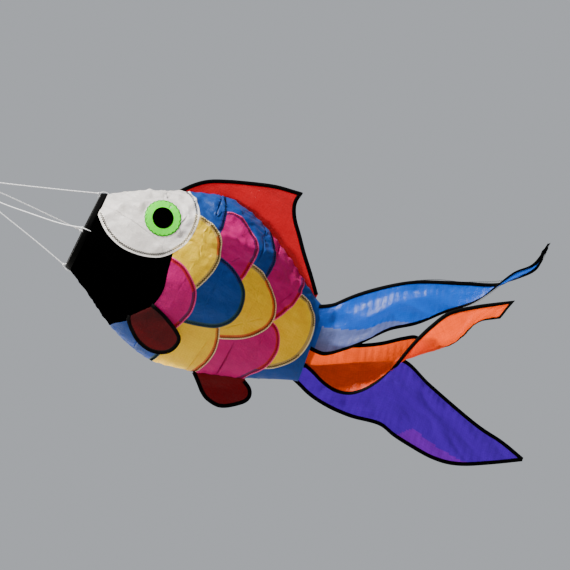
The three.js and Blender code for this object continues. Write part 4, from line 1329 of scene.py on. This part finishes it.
def build_tails():
    along, across = TAIL_ROWS, TAIL_COLUMNS
    for number, name in enumerate(TAILS):
        point, length = tail_surface(name)
        u, v = np.meshgrid(np.linspace(0, 1, along + 1), np.linspace(0, 1, across + 1), indexing="ij")
        places = point(u, v)
        tuck = np.maximum(0, 1 - u * length / 30) ** 2
        places[..., 0] -= TAIL_TUCK * tuck
        normals, _, _ = grid_normals(places)
        width = np.linalg.norm(places[:, -1] - places[:, 0], axis=1)[:, None]
        room = np.clip(width / 110, 0, 1)
        s = u * length
        slack = ease(np.minimum(v, 1 - v) / 0.18)
        folds = 4.6 * ripple(s / 120 + 5 * number, v * width / 30, 2.0 + number)
        folds = folds + 6.0 * np.abs(ripple(s / 64 - v, v * width / 34 + 3 * number, 5.0 + number))
        flutter = 3.0 * np.sin(s / 46 + 2.5 * v + number) * ease(s / 120)
        in_from_edge = np.minimum(v, 1 - v) * width
        puckers = 1.5 * np.cos(2 * math.pi * s / 17 + 3 * ripple(s / 50, v * 0, 3.0 + number))
        folds = folds + puckers * np.exp(-in_from_edge / 22)
        offset = (folds * slack + flutter) * room * ease(s / 40)
        places = places + normals * offset[..., None]
        normals, du, dv = grid_normals(places)
        into = unit(dv)
        index = np.arange((along + 1) * (across + 1)).reshape(along + 1, across + 1)
        faces = np.stack([index[:-1, :-1], index[1:, :-1], index[1:, 1:], index[:-1, 1:]], axis=-1)
        faces = faces.reshape(-1, 4)
        uv = np.stack([s, (v - 0.5) * width], axis=-1).reshape(-1, 2)
        cloths, which = [cloth_of("main", TAIL_PAINT[name])], np.zeros(len(faces), int)
        if name in PATCHES:
            colour, depth = PATCHES[name]
            at, across_it = (grid.reshape(-1)[faces].mean(axis=1) for grid in (u, v))
            which = (1 - across_it < np.interp(at, *zip(*depth), left=0)).astype(int)
            cloths.append(cloth_of("main", colour))
        sheet = mesh_object(f"cloth_{name}", places.reshape(-1, 3), faces, cloths, which, uv=uv)
        parts, threads = [], []
        for column, way in ((0, 1), (across, -1)):
            hem = (places[:, column], normals[:, column], into[:, column] * way)
            parts.append(bound_edge(*hem))
            threads.extend(edge_stitches(*hem))
        end = (places[-1], normals[-1], -unit(du[-1]))
        if width[-1, 0] > NARROW_END:
            parts.append(bound_edge(*end))
        trims = edge_trims(name, parts, threads)
        joint = JOINTS[f"{name}_swing"]
        hang_on_hinge(sheet, f"{TAIL_COLOUR[name]}_ripstop", trims, joint)


# ---------------------------------------------------------------- the studio
RIGHT = Vector((0.896, 0.0, 0.444))  # the picture's right and up, in the row frame
UP = Vector((-0.444, 0.0, 0.896))
LOOK_AT = (427, 85)  # the picture's middle, in x and z from the mouth, in millimetres
CAMERA_FROM = Vector((-0.50, -6.0, -0.32))  # from there to the camera, in metres
VIEW_WIDTH = 1.197  # metres across the picture
FLOOR = {"radius": 7.0, "level": -1.9, "sides": 96}
# each lamp's name, strength, softness in degrees, and direction as picture right, away and up
SUNS = [("key", 15.0, 8.0, (-0.50, -0.16, 0.85)), ("through_light", 9.0, 8.0, (-0.70, 0.70, 0.12))]


def aim(obj, target, roll_up):
    """Points an object's -Z at the target, with its +Y nearest to roll_up."""
    forward = (Vector(target) - obj.location).normalized()
    right = forward.cross(roll_up).normalized()
    up = right.cross(forward)
    obj.matrix_world = Matrix.Translation(obj.location) @ Matrix((right, up, -forward)).transposed().to_4x4()


def build_studio():
    scene = bpy.context.scene
    target = Vector((MOUTH_X + LOOK_AT[0], 0, MOUTH_Z + LOOK_AT[1])) * 0.001
    camera = bpy.data.objects.new("camera", bpy.data.cameras.new("camera"))
    camera.location = target + CAMERA_FROM
    scene.collection.objects.link(camera)
    aim(camera, target, UP)
    camera.data.sensor_width = 36
    camera.data.lens = 36 * (target - camera.location).length / VIEW_WIDTH
    camera.data.clip_end = 200
    scene.camera = camera

    for name, energy, degrees, way in SUNS:
        sun = bpy.data.objects.new(name, bpy.data.lights.new(name, "SUN"))
        sun.data.energy = energy
        sun.data.angle = math.radians(degrees)
        sun.data.color = (1.0, 0.97, 0.92)
        sun.location = target + (RIGHT * way[0] + Vector((0, way[1], 0)) + UP * way[2]) * 4
        scene.collection.objects.link(sun)
        aim(sun, target, Vector((0, 1, 0)))

    world = bpy.data.worlds.new("studio")
    scene.world = world
    world.use_nodes = True
    world.node_tree.nodes["Background"].inputs[0].default_value = (0.86, 0.90, 0.96, 1)
    world.node_tree.nodes["Background"].inputs[1].default_value = 0.5

    wide, sides = FLOOR["radius"], FLOOR["sides"]
    turn = np.arange(sides) * 2 * math.pi / sides
    disc = np.stack([target.x + wide * np.cos(turn), wide * np.sin(turn), np.full(sides, FLOOR["level"])],
                    axis=1) * 1000
    floor = mesh_object("floor", disc, [tuple(range(sides))],
                        [plain_floor("pale_floor", (0.52, 0.52, 0.51))], in_row=True, smooth=False)


build_studio()
build_bridle()
build_mouth()
build_body()
build_fins()
build_tails()
